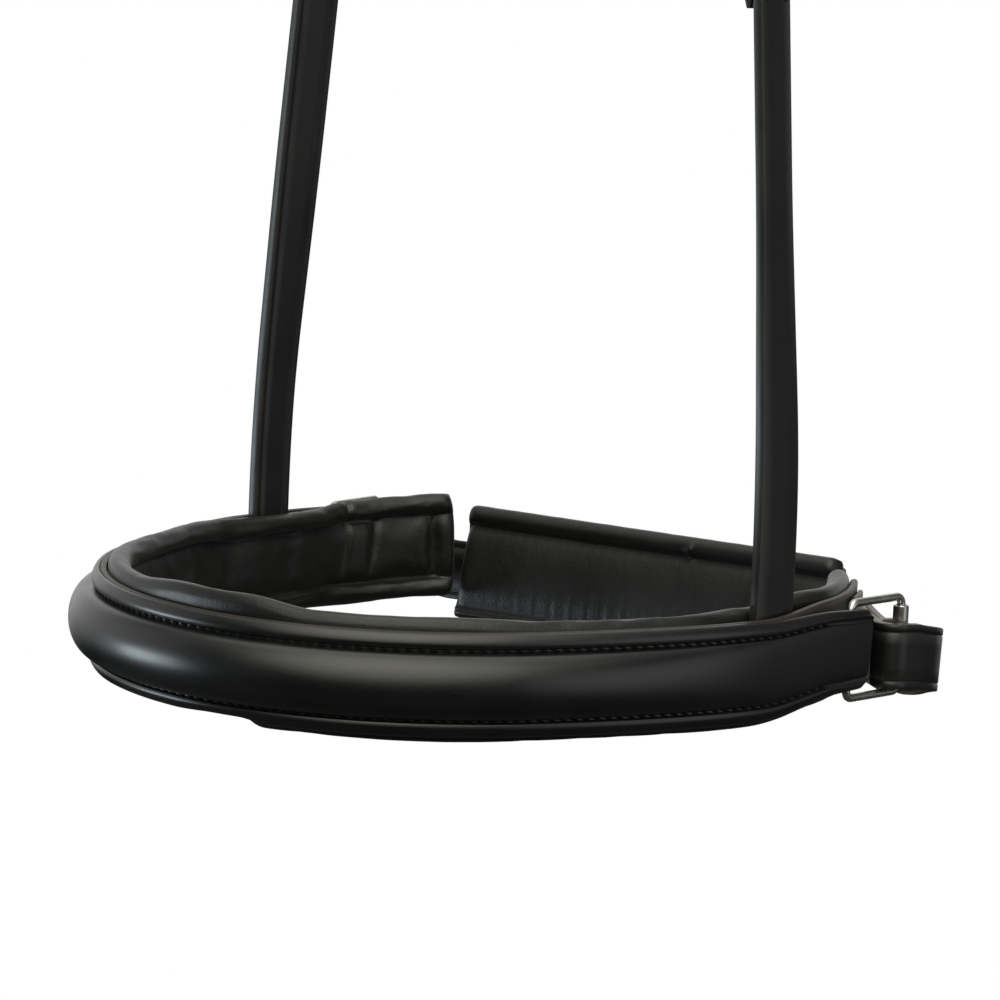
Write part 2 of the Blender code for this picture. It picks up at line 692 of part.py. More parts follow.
def chin_frame(u, out):
    """Local frame on the chin strap: X up across the strap, Y towards the near side, Z outward."""
    return local_frame(chin_origin + chin_along * u + chin_out * out, chin_up, -chin_along)


def round_cutter(name, matrix, radius, half_height):
    """A round punch, used only to cut a hole."""
    made = bmesh.new()
    bmesh.ops.create_cone(made, cap_ends=True, segments=10, radius1=radius, radius2=radius,
                          depth=2 * half_height)
    placed = add(name, made, black_leather(name))
    placed.matrix_world = matrix
    return placed


for number in (-2, -1, 1, 2):
    hole_u = BUCKLE_AT - 1 * MM + number * HOLE_SPACING
    if hole_u < BILLET_TIP - 12 * MM:
        punch = round_cutter("billet_punch_%d" % (number + 2), chin_frame(hole_u, BILLET_OUT), HOLE_RADIUS,
                             3 * MM)
        cut(chin_strap, punch)
tongue_slot = slot_cutter("tongue_slot", chin_frame(BUCKLE_AT - 1.5 * MM, BILLET_OUT), 1.8 * MM, 4.5 * MM,
                          3 * MM)
cut(chin_strap, tongue_slot)


# Chin buckle: chape, frame and tongue, with a sewn keeper and a sliding one

def buckle_points(half_width, reach, rise, corner):
    """Frame outline: pivot bar on local X, front bar at +Y, raised above the strap by rise."""
    outline = rounded_rectangle(half_width, 0.0, reach, corner, 4)
    return [(x, y, rise * min(max((y - corner) / (reach - 2 * corner), 0.0), 1.0)) for x, y in outline]


def tongue_points(wire_radius, bar_radius, knee_y, knee_z, tip_y, tip_z):
    """Bent round the pivot bar in a hook, up past the strap, then forward to its tip."""
    hook = bar_radius + 0.15 * MM + wire_radius
    turns = [math.radians(-60 - 30 * n) for n in range(8)]
    points = [(0.0, hook * math.cos(a), hook * math.sin(a)) for a in turns]
    points.append((0.0, knee_y, knee_z))
    points.append((0.0, knee_y + 0.45 * (tip_y - knee_y), knee_z + 0.7 * (tip_z - knee_z)))
    points.append((0.0, tip_y, tip_z))
    return points


buckle_frame_at = chin_frame(BUCKLE_AT, BUCKLE_OUT)
wire("chin_buckle_frame", buckle_frame_at, buckle_points(BUCKLE_HALF, BUCKLE_REACH, BUCKLE_RISE, 2.2 * MM),
     BUCKLE_WIRE, steel("chin_buckle_steel"), True)
TONGUE_WIRE = 0.9 * MM
tongue_tip_z = BUCKLE_RISE + BUCKLE_WIRE + TONGUE_WIRE + GAP
wire("chin_buckle_tongue", buckle_frame_at,
     tongue_points(TONGUE_WIRE, BUCKLE_WIRE, 1.2 * MM, 7.6 * MM, BUCKLE_REACH + 1.2 * MM, tongue_tip_z),
     TONGUE_WIRE, steel("chin_tongue_steel"), False)

chape_ply = 0.8 * MM
chape_turn = BUCKLE_WIRE + 0.25 * MM + chape_ply / 2
chape_low = CHIN_THICK / 2 + GAP + chape_ply / 2 - BUCKLE_OUT
chape_profile = [(CHIN_CHAPE_END - BUCKLE_AT, chape_low), (6 * MM, chape_low), (2.5 * MM, -chape_turn)]
chape_profile += [(-chape_turn * math.sin(math.pi * n / 8), -chape_turn * math.cos(math.pi * n / 8))
                  for n in range(9)]
chape_profile += [(3 * MM, 0.8 * chape_turn), (8 * MM, chape_low + chape_ply + 0.5 * MM),
                  (CHIN_CHAPE_END - BUCKLE_AT, chape_low + chape_ply + GAP)]
chape_points = [chin_origin + chin_along * (BUCKLE_AT + u) + chin_out * (BUCKLE_OUT + v)
                for u, v in chape_profile]
chin_chape = ribbon("chin_buckle_chape", chape_points, chin_up, black_leather("chin_chape_leather"),
                    CHIN_WIDTH - 1 * MM, chape_ply)
chape_slot = slot_cutter("chape_slot", chin_frame(BUCKLE_AT - 0.5 * MM, BUCKLE_OUT), 1.7 * MM, 5 * MM, 3.6 * MM)
cut(chin_chape, chape_slot)

keeper_low = -CHIN_THICK / 2 - 0.4 * MM
keeper_high = BILLET_OUT + CHIN_THICK / 2 + 0.4 * MM
for keeper_name, keeper_u in (("chin_keeper", KEEPER_AT), ("chin_runner", RUNNER_AT)):
    keeper(keeper_name, chin_frame(keeper_u, 0), CHIN_WIDTH / 2 + 0.4 * MM, keeper_low, keeper_high,
           KEEPER_WIDTH, KEEPER_PLY, black_leather(keeper_name + "_leather"))


# Chin pad: backing, foam and padded lining inside the chin strap, and the two loops on its back

def pad_ring(outline):
    def ring(u):
        lift = CHIN_PAD_HEIGHT - CHIN_DROOP
        return [chin_origin + chin_along * u + chin_out * out
                + chin_up * (lift + z * (CHIN_PAD_LOWER if z < 0 else 1)) for out, z in outline(u)]
    return ring


pad_backing_outline = [(CHIN_PAD_OUT, BACKING_HALF), (CHIN_PAD_OUT, -BACKING_HALF),
                       (CHIN_PAD_OUT - BACKING_THICK, -BACKING_HALF),
                       (CHIN_PAD_OUT - BACKING_THICK, BACKING_HALF)]
pad_back = CHIN_PAD_OUT - BACKING_THICK - GAP
ends = (-CHIN_PAD_HALF_LENGTH, CHIN_PAD_HALF_LENGTH)
sweep("chin_pad_backing", [pad_ring(lambda u: pad_backing_outline)(u) for u in ends],
      brown_leather("chin_backing_leather"))
pad_stations = steps(*ends, 14 * MM, end_stations(CHIN_PAD_HALF_LENGTH))
pad_outline = pad_ring(lambda u: [(pad_back + out, z) for out, z in
                                  lining_section(CHIN_PAD_HALF_LENGTH - abs(u))])
sweep("chin_pad_lining", [pad_outline(u) for u in pad_stations], pad_leather("chin_lining_leather"), 60)
pad_foam_outline = [(pad_back, POCKET_HALF), (pad_back, -POCKET_HALF),
                    (pad_back - FOAM_FRONT, -POCKET_HALF + GAP), (pad_back - FOAM_FRONT, POCKET_HALF - GAP)]
pad_foam_end = CHIN_PAD_HALF_LENGTH - END_ROLL - 0.5 * MM
sweep("chin_pad_foam", [pad_ring(lambda u: pad_foam_outline)(u) for u in (-pad_foam_end, pad_foam_end)],
      foam("chin_foam"))

loop_rise = CHIN_THICK / 2 + 0.4 * MM + PAD_LOOP_PLY / 2
loop_foot = CHIN_PAD_OUT + GAP + PAD_LOOP_PLY / 2
loop_reach = CHIN_WIDTH / 2 + 0.4 * MM + PAD_LOOP_PLY / 2
loop_line = [(14.6 * MM, loop_foot), (loop_reach + 0.9 * MM, loop_foot), (loop_reach, loop_foot + 0.9 * MM),
             (loop_reach, loop_rise - 0.9 * MM), (loop_reach - 0.9 * MM, loop_rise)]
loop_line += [(-z, out) for z, out in reversed(loop_line)]
for side, sign in (("near", -1), ("off", 1)):
    middle = chin_origin + chin_along * (sign * PAD_LOOP_AT)
    loop_points_3d = [middle + chin_out * out + chin_up * z for z, out in loop_line]
    ribbon(side + "_chin_pad_loop", loop_points_3d, chin_along, black_leather(side + "_pad_loop_leather"),
           PAD_LOOP_WIDTH, PAD_LOOP_PLY)


# Cheek straps with their sewn-in ends, buckles and keepers

strap_length = sum(length for length, _ in STRAP_ROUTE)
strap_heights = [0, 1 * MM, 8 * MM] + [8 * MM + 55 * MM * n / 6 for n in range(1, 7)]
strap_heights += [63 * MM + (strap_length - 63 * MM) * n / 8 for n in range(1, 9)]
turn_centre = CHEEK_WIRE + 0.35 * MM + TURN_THICK / 2
FOOT_ANGLES = (8, 35, 62)
TURN_STEPS = 8


def cheek_frame(s, sign):
    """Frame on the strap at a height: X across it, Y towards the horse, Z up along it."""
    up, inward, lean = along(STRAP_ROUTE, s)
    upward = Vector((0, math.sin(lean), math.cos(lean)))
    twist = STRAP_TWIST * ease(s, 30 * MM, 130 * MM)
    across = Vector((math.cos(twist), sign * math.sin(twist), 0))
    across -= upward * across.dot(upward)
    return local_frame((0, inward, up), across, upward.cross(across))


def cheek_strap_line(sign):
    """Centre points and width directions: rounded foot, the run, the turn round the bar, the way back."""
    line = [(Vector((0, 0, -0.5 * STRAP_THICK * math.cos(math.radians(a)))), Vector((1, 0, 0)))
            for a in FOOT_ANGLES]
    for s in strap_heights:
        place = cheek_frame(s, sign)
        line.append((place.translation, place.col[0].to_3d()))
    close = (TURN_THICK + STRAP_THICK) / 2 + 0.4 * MM
    turn = [(turn_centre * (1 - math.cos(math.pi * n / TURN_STEPS)),
             turn_centre * math.sin(math.pi * n / TURN_STEPS)) for n in range(1, TURN_STEPS + 1)]
    back = [(close + 0.7 * MM, -6 * MM), (close, -13 * MM), (close, 3 * MM - TURN_LENGTH), (close, -TURN_LENGTH)]
    line += [(place @ Vector((0, y, z)), place.col[0].to_3d()) for y, z in turn + back]
    return line


def cheek_thickness(number):
    """Rounded off at the foot, thinner from the turn round the buckle's bar onwards."""
    if number < len(FOOT_ANGLES):
        return STRAP_THICK * math.sin(math.radians(FOOT_ANGLES[number]))
    if number == len(FOOT_ANGLES) + len(strap_heights) + TURN_STEPS + 3:
        return 1.2 * MM
    return STRAP_THICK if number < len(FOOT_ANGLES) + len(strap_heights) - 1 else TURN_THICK


for side, sign in (("near", 1), ("off", -1)):
    centre, forward, outward = band_frame(sign * STRAP_AT[side], NEAR_FLAP_ROUTE, OFF_FLAP_ROUTE)
    seat = centre + outward * STRAP_OUT
    box(side + "_cheek_anchor", local_frame(seat, forward, -outward),
        (-STRAP_WIDTH / 2, -STRAP_THICK / 2, ANCHOR_FOOT),
        (STRAP_WIDTH / 2, STRAP_THICK / 2, FOLD_HEIGHT - STRAP_THICK / 2 - 0.5 * MM),
        black_leather(side + "_anchor_leather"))
    strap_frame = local_frame(seat + Vector((0, 0, FOLD_HEIGHT)), forward, -outward)
    strap_line = cheek_strap_line(sign)
    strap = ribbon(side + "_cheek_strap", [point for point, _ in strap_line], lambda n: strap_line[n][1],
                   black_leather(side + "_cheek_leather"), STRAP_WIDTH, cheek_thickness)
    strap.matrix_world = strap_frame

    top_frame = strap_frame @ cheek_frame(strap_length, sign)
    bar_frame = top_frame @ local_frame((0, turn_centre, 0), (-1, 0, 0), (0, 0, 1))
    wire(side + "_cheek_buckle", bar_frame, buckle_points(CHEEK_HALF, CHEEK_REACH, 0.0, 2.4 * MM), CHEEK_WIRE,
         steel(side + "_buckle_steel"), True)
    wire(side + "_cheek_tongue", bar_frame,
         tongue_points(1.1 * MM, CHEEK_WIRE, 3.4 * MM, 2.6 * MM, CHEEK_REACH + 1.4 * MM,
                       CHEEK_WIRE + 1.1 * MM + GAP),
         1.1 * MM, steel(side + "_tongue_steel"), False)
    notch = slot_cutter(side + "_strap_notch", bar_frame, 1.8 * MM, 6.5 * MM, 5 * MM)
    cut(strap, notch)

    room_in = TURN_THICK + STRAP_THICK / 2 + 0.8 * MM
    room_out = STRAP_THICK / 2 + STRAP_THICK + 0.8 * MM
    for piece, down in (("keeper", 11 * MM), ("runner", 24 * MM)):
        keeper_frame = top_frame @ local_frame((0, 0, -down), (-1, 0, 0), (0, 0, 1))
        keeper(side + "_cheek_" + piece, keeper_frame, STRAP_WIDTH / 2 + 0.4 * MM, -room_in, room_out,
               KEEPER_WIDTH, KEEPER_PLY, black_leather(side + "_" + piece + "_leather"))
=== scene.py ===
"""How the crank noseband looks: bridle leather, padded lining, thread and satin steel round the CAD frame."""
import math

import bmesh
import bpy
from mathutils import Matrix, Vector


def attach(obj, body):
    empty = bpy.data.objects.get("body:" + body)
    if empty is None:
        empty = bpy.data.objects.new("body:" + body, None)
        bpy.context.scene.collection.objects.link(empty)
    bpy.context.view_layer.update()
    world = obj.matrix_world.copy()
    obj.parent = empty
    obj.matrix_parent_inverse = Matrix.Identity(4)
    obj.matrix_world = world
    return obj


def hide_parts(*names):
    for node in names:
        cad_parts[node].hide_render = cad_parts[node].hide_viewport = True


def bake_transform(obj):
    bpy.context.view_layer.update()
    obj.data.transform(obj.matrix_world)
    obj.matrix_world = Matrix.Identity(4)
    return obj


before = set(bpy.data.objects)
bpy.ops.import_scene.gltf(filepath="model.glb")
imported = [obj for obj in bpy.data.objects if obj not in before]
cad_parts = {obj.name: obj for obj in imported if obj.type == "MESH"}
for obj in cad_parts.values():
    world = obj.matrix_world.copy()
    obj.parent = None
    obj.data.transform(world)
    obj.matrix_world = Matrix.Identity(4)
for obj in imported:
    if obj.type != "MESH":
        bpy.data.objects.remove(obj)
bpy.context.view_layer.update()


# Studio. The noseband hangs in the air in front of a white wall, lit from above and from its off side.
# The camera looks at the near front quarter from a little above, turned a few degrees about its own line.

MM = 0.001


class Tone:
    """A value on its way through a finish. Sums on it add the nodes that work them out."""

    def __init__(self, finish, socket):
        self.finish, self.socket = finish, socket

    def sum(self, operation, first, second):
        return self.finish.node("ShaderNodeMath", {"operation": operation}, {0: first, 1: second})

    def __add__(self, other):
        return self.sum("ADD", self, other)

    def __radd__(self, other):
        return self.sum("ADD", other, self)

    def __mul__(self, other):
        return self.sum("MULTIPLY", self, other)

    def __rmul__(self, other):
        return self.sum("MULTIPLY", other, self)


class Finish:
    """The node tree of a material or of the studio's surroundings."""

    def __init__(self, tree):
        self.tree = tree

    def node(self, kind, settings=None, sockets=None, out=0):
        made = self.tree.nodes.new(kind)
        for name, value in (settings or {}).items():
            setattr(made, name, value)
        for place, value in (sockets or {}).items():
            self.give(made.inputs[place], value)
        return Tone(self, made.outputs[out])

    def give(self, place, value):
        """Link a value that varies to a socket, or set one that doesn't."""
        if isinstance(value, Tone):
            self.tree.links.new(value.socket, place)
        elif place.type == "RGBA":
            place.default_value = (*value[:3], 1.0)
        else:
            place.default_value = value

    def feed(self, shader, **inputs):
        """Set or link a shader's own sockets."""
        for name, value in inputs.items():
            self.give(shader.inputs[name.replace("_", " ")], value)

    def spot(self):
        """Place on the finished object, in metres."""
        return self.node("ShaderNodeTexCoord", out="Object")

    def speckle(self, scale, detail=2.0, rough=0.5, at=None):
        return self.node("ShaderNodeTexNoise", {}, {"Vector": at or self.spot(), "Scale": scale,
                                                    "Detail": detail, "Roughness": rough})

    def spread(self, tone, low, high, to_low=0.0, to_high=1.0):
        """Stretch a range of a value to another range, and stop at its ends."""
        return self.node("ShaderNodeMapRange", {"clamp": True},
                         {"Value": tone, "From Min": low, "From Max": high, "To Min": to_low,
                          "To Max": to_high})

    def blend(self, share, first, second):
        """Colour between two colours."""
        return self.node("ShaderNodeMix", {"data_type": "RGBA"}, {0: share, 6: first, 7: second}, out=2)

    def bump(self, strength, distance, height):
        return self.node("ShaderNodeBump", {}, {"Strength": strength, "Distance": distance, "Height": height})


def new_finish(name):
    """A material with its own node tree, and its main shader."""
    made = bpy.data.materials.new(name)
    made.use_nodes = True
    return made, Finish(made.node_tree), made.node_tree.nodes["Principled BSDF"]


CAMERA_RIGHT = Vector((0.7229, 0.6895, 0.0462))
CAMERA_UP = Vector((-0.1398, 0.0804, 0.987))
CAMERA_BACK = Vector((0.6767, -0.7198, 0.1545))
CAMERA_AIM = Vector((26.85 * MM, 106 * MM, 41.5 * MM))
CAMERA_DISTANCE = 1350 * MM

camera = bpy.data.objects.new("camera", bpy.data.cameras.new("camera"))
bpy.context.collection.objects.link(camera)
camera.matrix_world = (Matrix.Translation(CAMERA_AIM + CAMERA_BACK * CAMERA_DISTANCE)
                       @ Matrix((CAMERA_RIGHT, CAMERA_UP, CAMERA_BACK)).transposed().to_4x4())
camera.data.sensor_width = 36
camera.data.lens = 161.6
camera.data.clip_start = 0.05
camera.data.clip_end = 50
bpy.context.scene.camera = camera
bpy.context.scene.view_settings.view_transform = "Standard"

world = bpy.data.worlds.new("studio_air")
bpy.context.scene.world = world
world.use_nodes = True
world.node_tree.nodes.clear()
air = Finish(world.node_tree)
toward = air.node("ShaderNodeTexCoord", out="Generated")
UPWARD, WALL_WAY, FLOOR_SIDE_WAY = (0.0, 0.0, 1.0), (-0.685, 0.728, 0.0), (0.9, 0.4, 0.0)
SKYLIGHT_WAY = (0.4545, -0.5417, 0.7071)
LEFT_CARD_WAY, RIGHT_CARD_WAY = (-0.9, -0.364, 0.242), (0.972, 0.224, 0.07)


def patch_of_air(way, low, high):
    """A soft-edged part of the surroundings: 0 where the cosine to a way is low, 1 where it is high."""
    cosine = air.node("ShaderNodeVectorMath", {"operation": "DOT_PRODUCT"}, {0: toward, 1: way}, out="Value")
    return air.spread(cosine, low, high)


wall = patch_of_air(WALL_WAY, 0.62, 0.9) * patch_of_air(UPWARD, -0.3, 0.05)
skylight = patch_of_air(SKYLIGHT_WAY, 0.7, 0.99)
glow = (0.01 + wall * 0.7 + skylight * 3.1 + patch_of_air(UPWARD, 0.6, 0.95) * 0.6
        + patch_of_air(LEFT_CARD_WAY, 0.8, 0.98) * 0.7
        + patch_of_air(FLOOR_SIDE_WAY, 0.5, 1.0) * patch_of_air(UPWARD, -0.5, -0.1) * 0.2
        + patch_of_air(RIGHT_CARD_WAY, 0.9, 0.99) * 0.8)
room = air.node("ShaderNodeBackground", {}, {
    "Color": air.blend(skylight, (1.0, 1.0, 1.0), (1.0, 0.98, 0.84)), "Strength": glow})
white = air.node("ShaderNodeBackground", {}, {"Color": (1.0, 1.0, 1.0), "Strength": 1.0})
seen = air.node("ShaderNodeLightPath", out="Is Camera Ray")
through = air.node("ShaderNodeLightPath", out="Is Transmission Ray")
mirrored = air.node("ShaderNodeLightPath", out="Is Glossy Ray") * wall
shown = air.node("ShaderNodeMixShader", {}, {0: seen + through + mirrored, 1: room, 2: white})
air.feed(world.node_tree.nodes.new("ShaderNodeOutputWorld"), Surface=shown)

FLOOR_DEPTH, FLOOR_RADIUS = 620 * MM, 1200 * MM
ground = bmesh.new()
bmesh.ops.create_circle(ground, cap_ends=True, radius=FLOOR_RADIUS, segments=64)
bmesh.ops.translate(ground, vec=(0, 0.1, -FLOOR_DEPTH), verts=ground.verts)
floor_mesh = bpy.data.meshes.new("floor")
ground.to_mesh(floor_mesh)
ground.free()
floor = bpy.data.objects.new("floor", floor_mesh)
bpy.context.collection.objects.link(floor)
floor_finish, tree, shader = new_finish("pale_floor")
mottle = tree.speckle(6.0, 3.0)
tree.feed(shader, Base_Color=(0.03, 0.03, 0.03), Roughness=tree.spread(mottle, 0.3, 0.7, 0.86, 0.94))
pale = tree.node("ShaderNodeEmission", {}, {"Color": (1.0, 1.0, 1.0), "Strength": 1.02})
looked_at = tree.node("ShaderNodeLightPath", out="Is Camera Ray")
looked_through = tree.node("ShaderNodeLightPath", out="Is Transmission Ray")
share = looked_at * 0.98 + looked_through * 0.98
mixed = tree.node("ShaderNodeMixShader", {}, {0: share, 1: Tone(tree, shader.outputs[0]), 2: pale})
tree.feed(tree.tree.nodes["Material Output"], Surface=mixed)
floor_mesh.materials.append(floor_finish)


def lamp(name, place, aim, width, height, power, colour):
    """A soft box of a given size, aimed at a point."""
    light = bpy.data.lights.new(name, "AREA")
    light.shape = "RECTANGLE"
    light.size, light.size_y = width, height
    light.energy = power
    light.color = colour
    made = bpy.data.objects.new(name, light)
    made.location = place
    made.rotation_euler = (Vector(aim) - Vector(place)).to_track_quat("-Z", "Y").to_euler()
    bpy.context.collection.objects.link(made)


lamp("top_soft_box", (-0.15, 0.2, 1.45), (0, 0.1, 0), 1.3, 1.3, 5, (1.0, 0.98, 0.86))
lamp("window", (-1.25, -1.0, -0.22), (0, 0.02, 0), 0.7, 0.36, 7.5, (0.8, 0.93, 1.0))


# Nosepiece cover. One black bridle-leather strap, wet-moulded over a round cord and sewn down above and
# below it, so that a raised band runs between two flanges. It thins and flattens towards each end.

NEAR_NOSE_ROUTE = [(55 * MM, 90 * MM), (55 * MM, 112 * MM), (55 * MM, 300 * MM)]
OFF_NOSE_ROUTE = [(55 * MM, 96 * MM), (55 * MM, 104 * MM), (55 * MM, 300 * MM)]
NEAR_COVER_ROUTE = NEAR_NOSE_ROUTE + [(30 * MM, 140 * MM), (200 * MM, 600 * MM)]
OFF_COVER_ROUTE = OFF_NOSE_ROUTE + [(27 * MM, 140 * MM), (200 * MM, None)]
COVER_END = 236 * MM
COVER_THICK = 2.2 * MM
COVER_HALF, COVER_END_HALF, TAPER_START = 15 * MM, 12.2 * MM, 184 * MM
CREASE_HALF, CREASE_END_HALF, CREASE_DEPTH = 9.7 * MM, 8.4 * MM, 0.35 * MM
BULGE, BULGE_END, BULGE_FULL_TO, BULGE_GONE_AT = 7.2 * MM, 0.7 * MM, 105 * MM, 214 * MM
NEAR_RISE = 2.6 * MM
COVER_CORNER = 3 * MM
STITCH = 3.6 * MM


def along(route, distance, start=(0.0, 0.0), heading=0.0):
    """Plan point and heading after walking a distance along straight runs and arcs that turn left."""
    x, y = start
    left = distance
    for number, (length, radius) in enumerate(route):
        step = left if number == len(route) - 1 else min(left, length)
        if radius is None:
            x += step * math.cos(heading)
            y += step * math.sin(heading)
        else:
            turned = heading + step / radius
            x += radius * (math.sin(turned) - math.sin(heading))
            y += radius * (math.cos(heading) - math.cos(turned))
            heading = turned
        left -= step
        if left <= 0:
            break
    return x, y, heading


def ease(value, low, high):
    """Smooth step from 0 at low to 1 at high."""
    t = min(max((value - low) / (high - low), 0.0), 1.0)
    return t * t * (3 - 2 * t)


def band_frame(s, near_route, off_route):
    """Plan point, forward and outward directions of the nosepiece at s, near side positive."""
    x, y, heading = along(near_route if s >= 0 else off_route, abs(s))
    side = 1 if s >= 0 else -1
    forward = Vector((math.cos(heading), side * math.sin(heading), 0))
    outward = Vector((side * math.sin(heading), -math.cos(heading), 0))
    return Vector((side * x, y, 0)), forward, outward


def rise(s):
    """The near end is drawn up a little behind its cheek strap."""
    return NEAR_RISE * ease(s, 190 * MM, 222 * MM)


def on_cover(s, out, z):
    centre, _, outward = band_frame(s, NEAR_COVER_ROUTE, OFF_COVER_ROUTE)
    return centre + outward * out + Vector((0, 0, z + rise(s)))


def stations(first, last, pitch, extra=()):
    """Evenly spaced places along a piece, with extra ones where they are named."""
    count = max(round((last - first) / pitch), 1)
    even = [first + (last - first) * n / count for n in range(count + 1)]
    spread = [s for s in even if all(abs(s - e) > 0.35 * pitch for e in extra) or s in (first, last)]
    return sorted(spread + [e for e in extra if first < e < last])


def formed(name, sections, finish, ring=False, smooth=40, marks=None):
    """A piece drawn through sections: a flat grid is bent to them, then closed round and at its ends."""
    rows, count = len(sections), len(sections[0])
    body = bmesh.new()
    bmesh.ops.create_grid(body, x_segments=rows - 1 + ring, y_segments=count, size=0.5)
    flat = body.loops.layers.uv.new("flat")
    worn = body.verts.layers.float.new("wear")
    marked = body.verts.layers.float.new("mark")
    place = {vert: (round((vert.co.x + 0.5) * (rows - 1 + ring)), round((vert.co.y + 0.5) * count))
             for vert in body.verts}
    run, girth = [0.0], [0.0]
    for row in range(1, rows + 1):
        run.append(run[-1] + (sections[row % rows][0] - sections[row - 1][0]).length)
    middle = sections[rows // 2]
    for spot in range(1, count + 1):
        girth.append(girth[-1] + (middle[spot % count] - middle[spot - 1]).length)
    for face in body.faces:
        for loop in face.loops:
            row, spot = place[loop.vert]
            loop[flat].uv = (run[row], girth[spot])
    heart = sum(middle, Vector()) / count
    edge = []
    for spot in range(count):
        here, before, after = middle[spot], middle[spot - 1], middle[(spot + 1) % count]
        bend = (here - before).angle(after - here, 0.0)
        convex = ((before + after) / 2 - here).dot(heart - here) > 0
        edge.append(min(bend / math.radians(40), 1.0) if convex else 0.0)
    for vert, (row, spot) in place.items():
        vert.co = sections[row % rows][spot % count]
        vert[worn] = edge[spot % count]
        vert[marked] = marks(row % rows, spot % count) if marks else 0.0
    bmesh.ops.remove_doubles(body, verts=body.verts, dist=1e-7)
    bmesh.ops.holes_fill(body, edges=[e for e in body.edges if e.is_boundary], sides=0)
    bmesh.ops.recalc_face_normals(body, faces=body.faces)
    return shaped(name, body, finish, smooth)


def shaped(name, body, finish, smooth=40):
    """Turn worked mesh into a named piece with its finish, shaded smooth up to an angle."""
    mesh = bpy.data.meshes.new(name)
    body.to_mesh(mesh)
    body.free()
    mesh.shade_smooth()
    mesh.set_sharp_from_angle(angle=math.radians(smooth))
    mesh.materials.append(finish)
    piece = bpy.data.objects.new(name, mesh)
    bpy.context.collection.objects.link(piece)
    return piece


def stitches(name, spots, finish, body, length=2.6 * MM):
    """Rows of waxed thread stitches. A spot is a stitch's middle, its way along the seam and its way out."""
    thick = 0.34 * MM
    thread = bmesh.new()
    for middle, way, out in spots:
        across = way.cross(out).normalized()
        way = (way.normalized() + across * 0.16).normalized()
        across = way.cross(out).normalized()
        turn = Matrix((across * thick, way.cross(across) * thick * 0.85, way * length / 2)).transposed()
        bmesh.ops.create_uvsphere(thread, u_segments=6, v_segments=4, radius=1.0,
                                  matrix=Matrix.Translation(middle) @ turn.to_4x4(), calc_uvs=False)
    bmesh.ops.recalc_face_normals(thread, faces=thread.faces)
    piece = shaped(name, thread, finish, 75)
    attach(piece, body)
    return piece


def bridle_leather(name, shine=0.36, grain=0.7, colour=(0.0035, 0.0035, 0.0038), worn=(0.05, 0.046, 0.042)):
    """Black waxed leather: fine pores, soft patches of polish, edges rubbed paler, its flesh side brown."""
    made, tree, shader = new_finish(name)
    at = tree.spot()
    patch = tree.speckle(48.0, 3.0, 0.55, at)
    fleck = tree.speckle(900.0, 2.0, 0.6, at)
    wear = tree.node("ShaderNodeAttribute", {"attribute_name": "wear"}, out="Fac")
    rubbed = tree.spread(wear * tree.spread(patch, 0.25, 0.75, 0.35, 1.0), 0.1, 1.0) * 0.5
    dark = tree.blend(tree.spread(patch, 0.35, 0.7), colour, tuple(1.5 * c for c in colour))
    flesh = tree.node("ShaderNodeAttribute", {"attribute_name": "mark"}, out="Fac")
    tree.feed(shader, Base_Color=tree.blend(flesh, tree.blend(rubbed, dark, worn), (0.13, 0.085, 0.055)))
    tree.feed(shader, Roughness=tree.spread(patch, 0.3, 0.7, shine - 0.02, shine + 0.04) + rubbed * 0.12
         + tree.spread(fleck, 0.3, 0.7, -0.015, 0.015))
    pores = tree.node("ShaderNodeTexVoronoi", {"feature": "F1"}, {"Vector": at, "Scale": 1300.0})
    wrinkle = tree.node("ShaderNodeTexVoronoi", {"feature": "DISTANCE_TO_EDGE"},
                        {"Vector": at, "Scale": 620.0})
    height = tree.spread(pores, 0.0, 0.5, 0.35, 1.0) + tree.spread(wrinkle, 0.0, 0.12) * 0.8 + fleck * 0.4
    tree.feed(shader, Normal=tree.bump(0.16 * grain, 0.12 * MM, height), Coat_Weight=0.12,
              Coat_Roughness=0.28)
    return made


def waxed_thread(name):
    made, tree, shader = new_finish(name)
    fuzz = tree.speckle(5200.0, 2.0)
    tint = tree.blend(tree.spread(fuzz, 0.3, 0.7), (0.002, 0.002, 0.0025), (0.008, 0.008, 0.0075))
    tree.feed(shader, Base_Color=tint, Roughness=tree.spread(fuzz, 0.3, 0.7, 0.6, 0.8),
              Specular_IOR_Level=0.15, Normal=tree.bump(0.4, 0.08 * MM, fuzz))
    return made


def cover_half(s):
    return COVER_HALF + (COVER_END_HALF - COVER_HALF) * ease(abs(s), TAPER_START, COVER_END)


def crease_half(s):
    return CREASE_HALF + (CREASE_END_HALF - CREASE_HALF) * ease(abs(s), TAPER_START, COVER_END)


def trimmed(s):
    """How much narrower the lower flange is where the nose turns to the off side."""
    there = ease(s, -90 * MM, -50 * MM) * (1 - ease(s, 24 * MM, 34 * MM))
    return (0.6 + 0.6 * ease(s, 0, 16 * MM)) * MM * there


